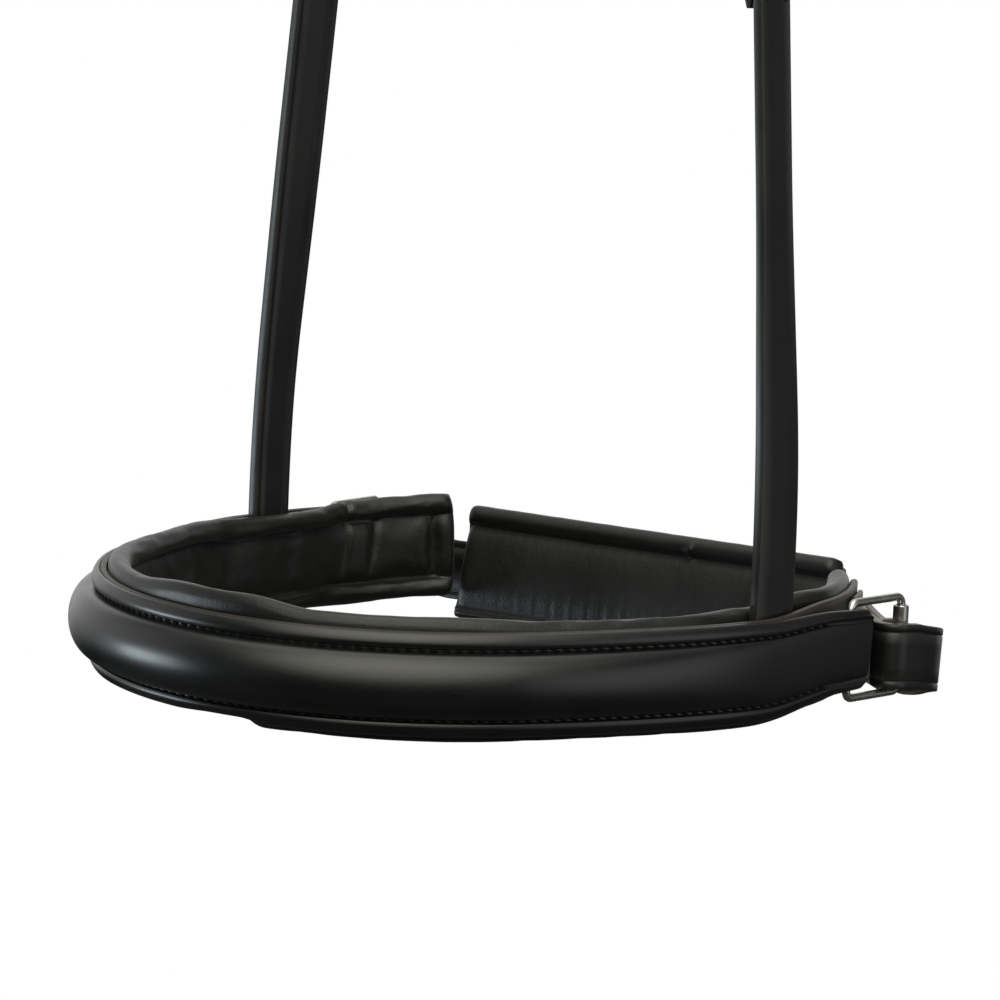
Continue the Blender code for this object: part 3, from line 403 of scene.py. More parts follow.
def cover_section(s):
    """Flange, sewn groove, raised band, groove and flange, over a flat back."""
    to_end = COVER_END - abs(s)
    half, crease = cover_half(s), crease_half(s)
    height = BULGE + (BULGE_END - BULGE) * ease(abs(s), BULGE_FULL_TO, BULGE_GONE_AT)
    corner = COVER_CORNER - math.sqrt(max(COVER_CORNER ** 2 - max(COVER_CORNER - to_end, 0.0) ** 2, 0.0))
    ends = 0.6 * MM * (1 - ease(to_end, 0, 0.7 * MM))
    groove = -CREASE_DEPTH - 0.75 * MM * ease(to_end, 6 * MM, 24 * MM)
    upper = [(-COVER_THICK, half - 0.25 * MM), (0.25 * MM - COVER_THICK, half), (-1.45 * MM, half),
             (-1.05 * MM, half - 0.18 * MM), (-0.72 * MM, half - 0.6 * MM), (-0.3 * MM, half - 1.35 * MM),
             (0.12 * MM, 0.5 * (half + crease) + 0.2 * MM), (0.14 * MM, crease + 1.8 * MM),
             (-0.08 * MM, crease + 1.25 * MM), (groove, crease + 0.8 * MM), (groove, crease + 0.3 * MM)]
    turns = [math.pi * n / 30 for n in range(31)]
    ridge = [(height * math.sin(a) ** 0.85 - CREASE_DEPTH, crease * math.cos(a)) for a in turns]
    lower = [(out, -z) for out, z in reversed(upper)]
    points = []
    for out, z in upper + ridge + lower:
        shorter = corner * (abs(z) / half) ** 3
        z = math.copysign(max(abs(z) - shorter - 0.5 * ends, 0.0), z)
        z += trimmed(s) * ease(-z, crease + 1 * MM, half)
        slant = s + 0.075 * z * ease(s, BULGE_GONE_AT, COVER_END)
        points.append(on_cover(slant, max(out - ends, -COVER_THICK) if out > -COVER_THICK else out, z))
    return points


cover_stations = stations(-COVER_END, COVER_END, 2.2 * MM, [side * (COVER_END - inset) for side in (1, -1)
                                                          for inset in (0.25 * MM, 0.7 * MM, 1.4 * MM)])
polished = bridle_leather("cover_leather", 0.31, 0.35)
nosepiece = formed("nosepiece_strap", [cover_section(s) for s in cover_stations], polished)
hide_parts("nose_cover", "nose_filler")
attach(nosepiece, "noseband")

thread = waxed_thread("black_thread")
spots = []
for s in stations(-213 * MM, 215 * MM, STITCH):
    for side in (1, -1):
        z = side * (crease_half(s) + 0.55 * MM)
        depth = -0.62 * MM * ease(COVER_END - abs(s), 6 * MM, 24 * MM) - 0.1 * MM
        way = on_cover(s + MM, depth, z) - on_cover(s - MM, depth, z)
        spots.append((on_cover(s, depth, z), way, band_frame(s, NEAR_COVER_ROUTE, OFF_COVER_ROUTE)[2]))
stitches("cover_stitches", spots, thread, "noseband")


# Backing strap and the outer ply of each flap. Firm leather, blacked on its cut edges; the cover is sewn
# through it. At each end it runs on past the cover, where a shorter ply lies on its outer side.

NEAR_FLAP_ROUTE = NEAR_NOSE_ROUTE + [(27 * MM, 140 * MM), (200 * MM, 92 * MM)]
OFF_FLAP_ROUTE = OFF_NOSE_ROUTE + [(27 * MM, 140 * MM), (200 * MM, 120 * MM)]
OFF_FLAP_BEND = math.radians(3.1)
BACKING_OUT = -2.5 * MM
BACKING_THICK = 1.9 * MM
BACKING_HALF = 15.2 * MM
FLAP_END = 272 * MM


def on_flap(s, out, z):
    """A place on the backing and lining; past the cover's off end they are bent up a little."""
    bend = math.sin(OFF_FLAP_BEND * ease(-s, 222 * MM, 250 * MM))
    height = z + rise(s) + max(-s - 232 * MM, 0.0) * bend
    centre, _, outward = band_frame(s + z * bend, NEAR_FLAP_ROUTE, OFF_FLAP_ROUTE)
    return centre + outward * out + Vector((0, 0, height))


def plank(top, thick, half, eased=0.5 * MM):
    """Section of a flat strap, its two long edges rounded."""
    edge = [(top - thick, half - eased), (top - thick + 0.3 * eased, half - 0.3 * eased),
            (top - thick + eased, half), (top - eased, half), (top - 0.3 * eased, half - 0.3 * eased),
            (top, half - eased), (top, half - 3 * eased)]
    return edge + [(out, -z) for out, z in reversed(edge)]


def rounded_end(section, to_end, corner):
    """The same section where a strap's corners are rounded off towards its end."""
    half = max(z for _, z in section)
    cut = corner - math.sqrt(max(corner ** 2 - max(corner - to_end, 0.0) ** 2, 0.0))
    top = max(out for out, _ in section)
    eased = 0.4 * MM * (1 - ease(to_end, 0, 0.5 * MM))
    return [(min(out, top - eased), z * (half - cut) / half) for out, z in section]


firm = bridle_leather("backing_leather", 0.5, 1.4, (0.012, 0.011, 0.0105), (0.05, 0.035, 0.025))
flap_stations = stations(-FLAP_END, FLAP_END, 3 * MM, [side * (FLAP_END - inset) for side in (1, -1)
                                                      for inset in (0.4 * MM, 1 * MM, 2 * MM)])
backing_plank = plank(BACKING_OUT + 0.3 * MM, BACKING_THICK + 0.3 * MM, BACKING_HALF, 0.75 * MM)
sections = []
for s in flap_stations:
    sections.append([on_flap(s, out, z + 1.3 * trimmed(s) * ease(-z, 9 * MM, 14 * MM))
                     for out, z in rounded_end(backing_plank, FLAP_END - abs(s), 5 * MM)])
backing = formed("backing_strap", sections, firm)
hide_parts("nose_backing")
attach(backing, "noseband")

FACING_START, FACING_THICK, FACING_HALF = 243 * MM, 1.5 * MM, 13.4 * MM
for side, sign in (("near", 1), ("off", -1)):
    last = FLAP_END - (9 if side == "near" else 3) * MM
    ply = plank(BACKING_OUT + 0.6 * MM + FACING_THICK, FACING_THICK, FACING_HALF)
    sections = []
    for s in stations(FACING_START, last, 2.5 * MM, [last - inset * MM for inset in (0.3, 1, 2, 4)]):
        sections.append([on_flap(sign * s, out, z) for out, z in rounded_end(ply, last - s, 6 * MM)])
    facing = formed(side + "_flap_ply", sections, bridle_leather(side + "_ply_leather", 0.42))
    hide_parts(side + "_flap_facing")
    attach(facing, "noseband")


# Padded lining. Soft glove leather drawn over foam and sewn through the backing: a fat roll above and
# below, a flatter field between, and a roll that closes each end. The cheek straps pass down behind it.

PAD_BACK = -4.7 * MM
PAD_HALF = 17.5 * MM
SEAM_HALF, SEAM_DEPTH = 10.8 * MM, 3.3 * MM
END_ROLL = 7 * MM
STRAP_AT = {"near": 197.6 * MM, "off": 196.8 * MM}
ROLL_MIDDLE, ROLL_RADIUS = (-3.45 * MM, 14.05 * MM), 3.45 * MM


def wavy(value, seed):
    """A steady, uneven ripple between -1 and 1, the same at every run."""
    return (math.sin(value * 1.0 + seed) + 0.6 * math.sin(value * 1.73 + 2.1 * seed)
            + 0.45 * math.sin(value * 2.91 + 3.7 * seed)) / 2.05


def glove_leather(name):
    """Soft matte leather: rounded grain, small slack creases, a dusty bloom in soft patches."""
    made, tree, shader = new_finish(name)
    at = tree.spot()
    patch = tree.speckle(60.0, 4.0, 0.6, at)
    fleck = tree.speckle(1500.0, 2.0, 0.6, at)
    bloom = tree.spread(patch, 0.35, 0.75)
    tree.feed(shader, Base_Color=tree.blend(bloom, (0.0022, 0.0021, 0.0019), (0.0034, 0.0033, 0.003)))
    tree.feed(shader, Roughness=tree.spread(patch, 0.3, 0.7, 0.38, 0.46))
    grain = tree.node("ShaderNodeTexVoronoi", {"feature": "F1"}, {"Vector": at, "Scale": 950.0})
    slack = tree.speckle(260.0, 3.0, 0.55, at)
    height = tree.spread(grain, 0.0, 0.6) * 0.5 + slack * 1.6 + fleck * 0.4
    tree.feed(shader, Normal=tree.bump(0.22, 0.25 * MM, height), Sheen_Weight=0.07, Sheen_Roughness=0.4)
    return made


def dent(distance, width):
    return math.exp(-(distance / width) ** 2)


def pad_section(to_end, ripple, end_roll=True):
    """Back, roll, seam, field, seam, roll; and which points the thread or the backing holds still."""
    closing = ease(to_end, 0.35 * END_ROLL, END_ROLL) if end_roll else 1.0
    depth = math.sqrt(max(1 - (1 - min(to_end / (3.2 * MM), 1.0)) ** 2, 0.0)) * 0.72 + 0.28
    seam = SEAM_DEPTH + 1.9 * MM * (1 - closing)
    sewn_down = dent(to_end - END_ROLL, 1.3 * MM) if end_roll else 0.0
    field = 5.1 * MM + 1.3 * MM * (1 - closing) - 1.9 * MM * sewn_down
    points = [((0, 14.2 * MM), True)]
    for n in range(13):
        a = math.radians(14 + 226 * n / 12)
        swell = ROLL_RADIUS + ripple * 0.05 * MM * math.sin(math.pi * n / 12)
        points.append(((ROLL_MIDDLE[0] + swell * math.cos(a), ROLL_MIDDLE[1] + swell * math.sin(a)), n < 2))
    points.append(((-seam, SEAM_HALF), True))
    for z, deep in ((9.7, 0.3), (8.3, 0.66), (6.4, 0.92), (4.2, 1.0), (2.0, 1.0)):
        points.append(((-seam - (field - seam) * deep, z * MM), False))
    points.append(((-field, 0.0), False))
    mirrored_points = [((out, -z), held) for (out, z), held in reversed(points[:-1])]
    back = [((0, z * MM), True) for z in (-10, -5, 0, 5, 10)]
    whole = points + mirrored_points + back
    return [((out * depth, z * (0.955 + 0.045 * min(to_end / (2.6 * MM), 1.0))), held)
            for (out, z), held in whole]


def strap_lift(s, z):
    """How far the lining stands off the backing, to let the cheek strap down between them."""
    seat = STRAP_AT["near"] if s > 0 else STRAP_AT["off"]
    beside = 1 - ease(abs(abs(s) - seat), 9 * MM, 34 * MM)
    return 4.4 * MM * beside * ease(z, -15.5 * MM, -10.8 * MM)


def puffed(piece, held, cap, pressure=2.5, slack=0.004):
    """Blow the padding up under its leather as cloth, held where it is sewn, and keep the result."""
    group = piece.vertex_groups.new(name="sewn")
    group.add(held, 1.0, "REPLACE")
    before = [v.co.copy() for v in piece.data.vertices]
    cloth = piece.modifiers.new("padding", "CLOTH")
    cloth.settings.quality = 6
    cloth.settings.mass = 0.15
    cloth.settings.tension_stiffness = 20
    cloth.settings.compression_stiffness = 20
    cloth.settings.shear_stiffness = 8
    cloth.settings.bending_stiffness = 0.35
    cloth.settings.use_pressure = True
    cloth.settings.uniform_pressure_force = pressure
    cloth.settings.shrink_min = -slack
    cloth.settings.vertex_group_mass = "sewn"
    cloth.settings.effector_weights.gravity = 0
    cloth.collision_settings.use_collision = False
    cloth.point_cache.frame_start = 1
    cloth.point_cache.frame_end = 20
    scene = bpy.context.scene
    for number in range(1, 21):
        scene.frame_set(number)
    result = piece.evaluated_get(bpy.context.evaluated_depsgraph_get()).data
    after = [v.co.copy() for v in result.vertices]
    piece.modifiers.remove(cloth)
    scene.frame_set(1)
    for vert, start, end in zip(piece.data.vertices, before, after):
        move = end - start
        if move.length > cap:
            move = move * (cap / move.length)
        vert.co = start + move
    piece.data.update()


def lining(name, places, end, place, seed, end_roll=True):
    """A padded lining through its places, not yet blown up, and its sewn points."""
    sections, sewn = [], set()
    for s in places:
        ripple = wavy(s / STITCH * 1.35, seed)
        section = pad_section(end - abs(s), ripple, end_roll)
        sections.append([place(s, out, z) for (out, z), _ in section])
        at_end_seam = end_roll and abs(abs(s) - (end - END_ROLL)) < 0.2 * MM
        for ((_, z), held), point in zip(section, sections[-1]):
            if held or end - abs(s) < 1.2 * MM or (at_end_seam and abs(z) < SEAM_HALF + 0.1 * MM):
                sewn.add(tuple(round(c, 7) for c in point))
    piece = formed(name, sections, glove_leather(name + "_leather"), smooth=80)
    held = [v.index for v in piece.data.vertices if tuple(round(c, 7) for c in v.co) in sewn]
    return piece, held


def smoothed(piece):
    """One subdivision, live."""
    finer = piece.modifiers.new("softened", "SUBSURF")
    finer.levels = finer.render_levels = 1


def drawn_up(s, z):
    """At the nose the lining sits high: the upper roll stands up, the lower one hides behind the cover."""
    high = 1.4 * MM * ease(s, -130 * MM, -60 * MM) * (1 - ease(s, 80 * MM, 125 * MM))
    high += 2.2 * MM * ease(s, -34 * MM, -2 * MM) * (1 - ease(s, 22 * MM, 44 * MM))
    hidden = 3 * MM * ease(s, -140 * MM, -110 * MM) * (1 - ease(s, 21 * MM, 29 * MM))
    let_down = 1.3 * MM * ease(-s, 150 * MM, 172 * MM) * (1 - ease(-s, 218 * MM, 230 * MM))
    return (high - let_down) * ease(z, 5 * MM, 13 * MM) + hidden * ease(-z, 8 * MM, 12.5 * MM)


JOINT_AT, FOLD_AT = -230.5 * MM, -242 * MM


def on_lining(s, out, z):
    """A place on the lining; the off flap has a joint in its roll, a slack patch, a fold and a full end."""
    inner = ease(-out, 2.5 * MM, 4 * MM)
    joint = 1.1 * MM * dent(s - JOINT_AT, 1 * MM) * ease(z, 9 * MM, 12 * MM)
    fold = 1.3 * MM * dent(s - FOLD_AT + 0.15 * z, 1.2 * MM)
    fold *= ease(z, -9 * MM, 2 * MM) * (1 - ease(z, 9 * MM, 11 * MM))
    patch = ease(JOINT_AT - s, 0, 3 * MM) * (1 - ease(JOINT_AT - s, 8 * MM, 11 * MM))
    patch *= 0.8 * MM * ease(z, -9 * MM, 3 * MM) * (1 - ease(z, 8 * MM, 10.5 * MM))
    full = 1.9 * MM * ease(-s, 263 * MM, FLAP_END) * (1 - (z / PAD_HALF) ** 4)
    return on_flap(s - full, PAD_BACK + out - strap_lift(s, z) + (fold + joint - patch) * inner,
                   z + drawn_up(s, z) - joint * 0.6)


at_ends = [side * (FLAP_END - inset * MM) for side in (1, -1)
           for inset in (0.5, 1.2, 2.4, 4.2, 5.6, END_ROLL / MM, 8.4, 9.8)]
at_folds = [spot + shift * MM for spot in (JOINT_AT, FOLD_AT) for shift in (-2.2, -1.1, 0, 1.1, 2.2)]
nose_pad, held = lining("nose_pad", stations(-FLAP_END, FLAP_END, 2.4 * MM, at_ends + at_folds), FLAP_END,
                        on_lining, 0.7)
puffed(nose_pad, held, 0.8 * MM)
smoothed(nose_pad)
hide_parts("nose_lining", "nose_foam")
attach(nose_pad, "noseband")

spots = []
for side in (1, -1):
    for s in stations(side * -(FLAP_END - END_ROLL), side * (FLAP_END - END_ROLL), STITCH):
        z = side * SEAM_HALF
        lift = strap_lift(s, z)
        if lift < 3 * MM:
            out = -SEAM_DEPTH - 0.1 * MM
            way = on_lining(s + MM, out, z) - on_lining(s - MM, out, z)
            spots.append((on_lining(s, out, z), way, -band_frame(s, NEAR_FLAP_ROUTE, OFF_FLAP_ROUTE)[2]))
    s = side * (FLAP_END - END_ROLL)
    for z in stations(-SEAM_HALF + 2 * MM, SEAM_HALF - 2 * MM, STITCH):
        spots.append((on_lining(s, -SEAM_DEPTH - 0.15 * MM, z), Vector((0, 0, 1)),
                      -band_frame(s, NEAR_FLAP_ROUTE, OFF_FLAP_ROUTE)[2]))
stitches("lining_stitches", spots, thread, "noseband")


# Crank loops. A rectangular loop of satin steel wire on each end of the nosepiece, its front bar in a
# leather chape sewn between cover and backing. The near loop's rear bar carries a steel roller.

LOOP_AT, LOOP_OUT = 231 * MM, -4.9 * MM
LOOP_REACH, LOOP_HALF, LOOP_WIRE = 24 * MM, 14.6 * MM, 1.3 * MM
LOOP_LIFT = {"near": 1.6 * MM, "off": 0.0}
CHAPE_START, CHAPE_HALF, CHAPE_PLY = 218 * MM, 11 * MM, 0.9 * MM


def satin_steel(name, shine=0.24):
    """Stainless steel with a brushed, slightly smeared polish."""
    made, tree, shader = new_finish(name)
    at = tree.spot()
    stretched = tree.node("ShaderNodeMapping", {}, {"Vector": at, "Scale": (500.0, 500.0, 900.0)})
    brushed = tree.speckle(1.0, 3.0, 0.6, stretched)
    smear = tree.speckle(130.0, 3.0, 0.5, at)
    tint = tree.blend(tree.spread(smear, 0.3, 0.7), (0.5, 0.49, 0.46), (0.62, 0.61, 0.58))
    tree.feed(shader, Base_Color=tint, Metallic=1.0, Normal=tree.bump(0.1, 0.015 * MM, brushed),
              Roughness=tree.spread(smear, 0.3, 0.7, shine - 0.04, shine + 0.08))
    return made


def local_frame(origin, x_axis, y_axis):
    """Matrix of a right-handed frame from its origin, its X direction and its rough Y direction."""
    x = Vector(x_axis).normalized()
    z = x.cross(Vector(y_axis)).normalized()
    y = z.cross(x)
    return Matrix.Translation(Vector(origin)) @ Matrix((x, y, z)).transposed().to_4x4()


def rounded_rectangle(half_x, low_y, high_y, corner, count):
    """Corner-rounded outline in a plane, counter-clockwise."""
    outline = []
    corners = [(half_x, high_y), (-half_x, high_y), (-half_x, low_y), (half_x, low_y)]
    for quarter, (x, y) in enumerate(corners):
        cx = x - math.copysign(corner, x)
        cy = y - corner if y == high_y else y + corner
        for n in range(count + 1):
            angle = math.pi / 2 * (quarter + n / count)
            outline.append((cx + corner * math.cos(angle), cy + corner * math.sin(angle)))
    return outline


def bent_wire(name, matrix, points, radius, finish, body, node, ring=True, side=(0, 1, 0)):
    """Round wire bent through points of a local frame; an open wire has rounded tips."""
    points = [Vector(p) for p in points]
    radii = [radius] * len(points)
    if not ring:
        for end, inner in ((0, 1), (-1, -2)):
            back = (points[inner] - points[end]).normalized()
            tip = points[end].copy()
            extra = [tip, tip + back * 0.3 * radius, tip + back * radius]
            sizes = [0.25 * radius, 0.75 * radius, radius]
            if end == 0:
                points, radii = extra + points[1:], sizes + radii[1:]
            else:
                points, radii = points[:-1] + extra[::-1], radii[:-1] + sizes[::-1]
    sections = []
    for number, point in enumerate(points):
        if ring:
            before, after = points[number - 1], points[(number + 1) % len(points)]
        else:
            before, after = points[max(number - 1, 0)], points[min(number + 1, len(points) - 1)]
        way = (after - before).normalized()
        flat = (Vector(side) - way * way.dot(Vector(side))).normalized()
        third = way.cross(flat)
        sections.append([matrix @ (point + radii[number] * (flat * math.cos(a) + third * math.sin(a)))
                         for a in [2 * math.pi * n / 12 for n in range(12)]])
    piece = formed(name, sections, finish, ring=ring, smooth=60)
    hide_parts(node)
    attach(piece, body)
    return piece


def strap(name, points, across_at, finish, width, thick, creases=0.0, undyed=None):
    """A flat strap through centre points: long edges rounded, a tooled crease line by each.

    The share of brown that a place's undyed flesh side shows comes from undyed, where one is given.
    """
    sections = []
    for number, point in enumerate(points):
        before, after = points[max(number - 1, 0)], points[min(number + 1, len(points) - 1)]
        across = Vector(across_at(number) if callable(across_at) else across_at).normalized()
        normal = (after - before).cross(across).normalized()
        half = (thick(number) if callable(thick) else thick) / 2
        reach = (width(number) if callable(width) else width) / 2
        soft = min(0.55 * MM, 0.8 * half)
        line = reach - min(2.5 * MM, 0.3 * reach)
        side = [(0.35 * reach, half), (line - 0.45 * MM, half), (line - 0.15 * MM, half - creases),
                (line + 0.15 * MM, half - creases), (line + 0.45 * MM, half),
                (reach - soft, half), (reach - 0.3 * soft, half - 0.3 * soft), (reach, half - soft),
                (reach, soft - half), (reach - 0.3 * soft, 0.3 * soft - half), (reach - soft, -half),
                (0.35 * reach, -half)]
        outline = side + [(-u, v) for u, v in reversed(side)]
        sections.append([point + across * u + normal * v for u, v in outline])
    flesh = [0.0] * 8 + [0.3, 0.7, 1.0, 1.0]
    flesh += flesh[::-1]
    marks = (lambda row, spot: flesh[spot] * undyed(points[row])) if undyed else None
    return formed(name, sections, finish, marks=marks)


rear_bars = {}
for side, sign in (("near", 1), ("off", -1)):
    centre, forward, outward = band_frame(sign * LOOP_AT, NEAR_COVER_ROUTE, OFF_COVER_ROUTE)
    lift = Vector((0, 0, LOOP_LIFT[side]))
    front_bar = centre + outward * LOOP_OUT + lift
    rearward = forward * sign
    loop_frame = local_frame(front_bar, rearward, outward * -sign)
    loop_line = [(y, 0.0, z) for z, y in rounded_rectangle(LOOP_HALF, 0.0, LOOP_REACH, 2.4 * MM, 8)]
    bent_wire(side + "_crank_wire", loop_frame, loop_line, LOOP_WIRE, satin_steel(side + "_loop_finish"),
              side + "_loop", side + "_crank_loop")
    rear_bars[side] = front_bar + rearward * LOOP_REACH

    ply = LOOP_WIRE + 0.15 * MM + CHAPE_PLY / 2
    run = LOOP_AT - CHAPE_START
    chape_line = [(-run, ply), (-0.75 * run, ply), (-0.5 * run, ply), (-0.25 * run, ply), (0.0, ply)]
    chape_line += [(ply * math.sin(math.pi * n / 12), ply * math.cos(math.pi * n / 12)) for n in range(1, 12)]
    chape_line += [(0.0, -ply), (-0.35 * run, -0.55 * ply), (-0.7 * run, ply - CHAPE_PLY - 0.5 * MM),
                   (-run, ply - CHAPE_PLY - 0.3 * MM)]
    chape_points = [on_cover(sign * (LOOP_AT + u), LOOP_OUT + v, -rise(sign * (LOOP_AT + u))) + lift
                    for u, v in chape_line]
    chape = strap(side + "_loop_chape", chape_points, (0, 0, 1),
                  bridle_leather(side + "_loop_chape_leather", 0.45), 2 * CHAPE_HALF, CHAPE_PLY)
    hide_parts(side + "_crank_chape")
    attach(chape, "noseband")

ROLLER_PROFILE = [(1.6, 11.9), (2.1, 11.9), (2.4, 11.6), (2.4, 6.0), (2.32, 0.0), (2.4, -6.0), (2.4, -11.6),
                  (2.1, -11.9), (1.6, -11.9), (1.6, 0.0)]
shell = bmesh.new()
profile = [shell.verts.new((radius * MM, 0, half * MM)) for radius, half in ROLLER_PROFILE]
profile_edges = [shell.edges.new(pair) for pair in zip(profile, profile[1:] + profile[:1])]
bmesh.ops.spin(shell, geom=profile + profile_edges, cent=(0, 0, 0), axis=(0, 0, 1), dvec=(0, 0, 0),
               angle=2 * math.pi, steps=32, use_merge=True, use_duplicate=False)
bmesh.ops.translate(shell, vec=rear_bars["near"], verts=shell.verts)
bmesh.ops.recalc_face_normals(shell, faces=shell.faces)
roller_piece = shaped("roller_shell", shell, satin_steel("roller_finish", 0.3), 35)
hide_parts("near_loop_roller")
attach(roller_piece, "near_roller")


# Chin strap. One long strap of black leather: sewn round the off loop, it runs behind the chin, turns back
# through the near loop and lies doubled on itself as a holed billet. Creased along its edges.

CHIN_WIDTH, CHIN_THICK = 20 * MM, 3 * MM
NEAR_TURN, NEAR_SLACK, OFF_TURN = 4.9 * MM, 3.2 * MM, 4.1 * MM
BILLET_OUT, BILLET_CLOSE, BILLET_OVER_LOOP = 8.8 * MM, 3.5 * MM, 5.3 * MM
CHIN_LINE_AT = (-22.3 * MM, 235.4 * MM)
CHIN_HEADING = math.radians(190.6)
CHIN_TILT = math.radians(14)
CHIN_DROOP, OFF_DROOP, LOOP_DROOP, CORNER_DROOP = -7.5 * MM, -9.8 * MM, -3 * MM, -10 * MM
NEAR_STRAIGHT, NEAR_CORNER, SECOND_CORNER, OFF_CORNER = 5.1 * MM, 12 * MM, 14 * MM, 20 * MM
NEAR_CORNER_HEADING = math.radians(146)
BUCKLE_AT, BILLET_TIP = -14 * MM, 40 * MM

_, near_rear, near_out = band_frame(LOOP_AT, NEAR_COVER_ROUTE, OFF_COVER_ROUTE)
_, off_forward, off_out = band_frame(-LOOP_AT, NEAR_COVER_ROUTE, OFF_COVER_ROUTE)
near_heading = math.atan2(near_rear.y, near_rear.x)
off_heading = math.atan2(off_forward.y, off_forward.x) + 2 * math.pi
inner_start = rear_bars["near"] - near_out * NEAR_TURN


def chin_route():
    """Arcs of the inner run, its two free straights solved so that it meets the chin line."""
    x, y, heading = along([(NEAR_STRAIGHT, None)], NEAR_STRAIGHT, inner_start[:2], near_heading)
    first_turn = (NEAR_CORNER_HEADING - heading) * NEAR_CORNER
    x, y, heading = along([(first_turn, NEAR_CORNER)], first_turn, (x, y), heading)
    second_turn = (CHIN_HEADING - NEAR_CORNER_HEADING) * SECOND_CORNER
    turn_x, turn_y, _ = along([(second_turn, SECOND_CORNER)], second_turn, (0, 0), heading)
    off_turn = (off_heading - CHIN_HEADING) * OFF_CORNER
    corner_x, corner_y, _ = along([(off_turn, OFF_CORNER)], off_turn, (0, 0), CHIN_HEADING)
    off_end = rear_bars["off"] + off_out * OFF_TURN

    def solve(gap_x, gap_y, first, second):
        a, b, c, d = math.cos(first), math.cos(second), math.sin(first), math.sin(second)
        whole = a * d - b * c
        return (gap_x * d - b * gap_y) / whole, (a * gap_y - c * gap_x) / whole

    lead, near_run = solve(CHIN_LINE_AT[0] - x - turn_x, CHIN_LINE_AT[1] - y - turn_y,
                           NEAR_CORNER_HEADING, CHIN_HEADING)
    off_run, tail = solve(off_end.x - CHIN_LINE_AT[0] - corner_x, off_end.y - CHIN_LINE_AT[1] - corner_y,
                          CHIN_HEADING, off_heading)
    route = [(NEAR_STRAIGHT, None), (first_turn, NEAR_CORNER), (lead, None), (second_turn, SECOND_CORNER),
             (near_run + off_run, None), (off_turn, OFF_CORNER), (tail, None)]
    return route, sum(length for length, _ in route[:4]) + near_run, sum(length for length, _ in route)


CHIN_ROUTE, CHIN_MIDDLE, CHIN_LENGTH = chin_route()


def droop(s):
    """Height of the chin strap's middle line: it hangs between the two loops."""
    start = LOOP_DROOP + LOOP_LIFT["near"] + 0.5 * MM
    fall = start + (CORNER_DROOP - start) * ease(s, -4 * MM, 32 * MM)
    level = (CHIN_DROOP - CORNER_DROOP) * ease(s, 55 * MM, CHIN_MIDDLE - 62 * MM)
    dip = (OFF_DROOP - CHIN_DROOP) * ease(s, CHIN_MIDDLE + 57 * MM, CHIN_MIDDLE + 78 * MM)
    return fall + level + dip + (LOOP_DROOP - OFF_DROOP) * ease(s, CHIN_MIDDLE + 80 * MM, CHIN_LENGTH)


upright = Vector((0, 0, 1))


def chin_directions(s):
    """Point on the strap's middle line, its outward direction and its direction up across it."""
    x, y, heading = along(CHIN_ROUTE, s, inner_start[:2], near_heading)
    level = Vector((math.sin(heading), -math.cos(heading), 0))
    lean = CHIN_TILT * (ease(s, -12 * MM, CHIN_MIDDLE - 60 * MM)
                        - ease(s, CHIN_MIDDLE + 66 * MM, CHIN_LENGTH - 6 * MM))
    outward = level * math.cos(lean) - upright * math.sin(lean)
    return Vector((x, y, droop(s))), outward, upright * math.cos(lean) + level * math.sin(lean)


def on_chin(s, out):
    point, outward, _ = chin_directions(s)
    return point + outward * out


def billet_out(s):
    """The billet leaves the near loop, closes on the strap, then lifts over the pad's loop and the buckle."""
    out = 2 * NEAR_TURN + (BILLET_CLOSE - 2 * NEAR_TURN) * ease(s, 8 * MM, 48 * MM)
    out += (BILLET_OVER_LOOP - BILLET_CLOSE) * ease(s, CHIN_MIDDLE - 69 * MM, CHIN_MIDDLE - 58 * MM)
    return out + (BILLET_OUT - BILLET_OVER_LOOP) * ease(s, CHIN_MIDDLE - 45 * MM, CHIN_MIDDLE - 28 * MM)


chin_points = []
bar = rear_bars["off"] + upright * LOOP_DROOP
SEWN_END = [(16, 0.06), (12.5, 0.15), (9.6, 0.3), (7, 0.52), (4.8, 0.75)]
for back, share in SEWN_END:
    inner = OFF_TURN - share * 2 * OFF_TURN - (1 - share) * (CHIN_THICK + 0.9 * MM)
    chin_points.append((bar - off_forward * back * MM + off_out * inner, upright))
half_turn = [math.pi * n / 16 for n in range(17)]
for angle in half_turn:
    turned = off_forward * math.sin(angle) - off_out * math.cos(angle)
    chin_points.append((bar + turned * OFF_TURN, upright))
inner_stations = stations(0, CHIN_LENGTH, 2.6 * MM)
chin_points += [(on_chin(s, 0), chin_directions(s)[2]) for s in reversed(inner_stations)
                if 1.6 * MM < s < CHIN_LENGTH - 2 * MM]
near_bar = rear_bars["near"] - near_rear * NEAR_SLACK + upright * (droop(0) - LOOP_LIFT["near"])
for angle in half_turn:
    turned = near_rear * math.sin(angle) + near_out * math.cos(angle)
    chin_points.append((near_bar - turned * NEAR_TURN, upright))
billet_end = CHIN_MIDDLE + BILLET_TIP
tip_insets = [14, 12, 10, 8, 6, 4.4, 3, 1.8, 0.9, 0.3, 0]
billet_stations = [s for s in inner_stations if 1.6 * MM < s < billet_end - 15 * MM]
for s in billet_stations + [billet_end - inset * MM for inset in tip_insets]:
    chin_points.append((on_chin(s, billet_out(s)), chin_directions(s)[2]))


def chin_width(number):
    """The billet ends in a point."""
    to_tip = len(chin_points) - 1 - number
    if to_tip >= len(tip_insets):
        return CHIN_WIDTH
    inset = tip_insets[len(tip_insets) - 1 - to_tip]
    return CHIN_WIDTH * (0.3 + 0.7 * min(inset / 11, 1.0) ** 0.75)


def chin_thickness(number):
    """The sewn end is thinned where it lies on the strap."""
    return (1.0, 1.2, 1.6, 2.1, 2.6)[number] * MM if number < len(SEWN_END) else CHIN_THICK


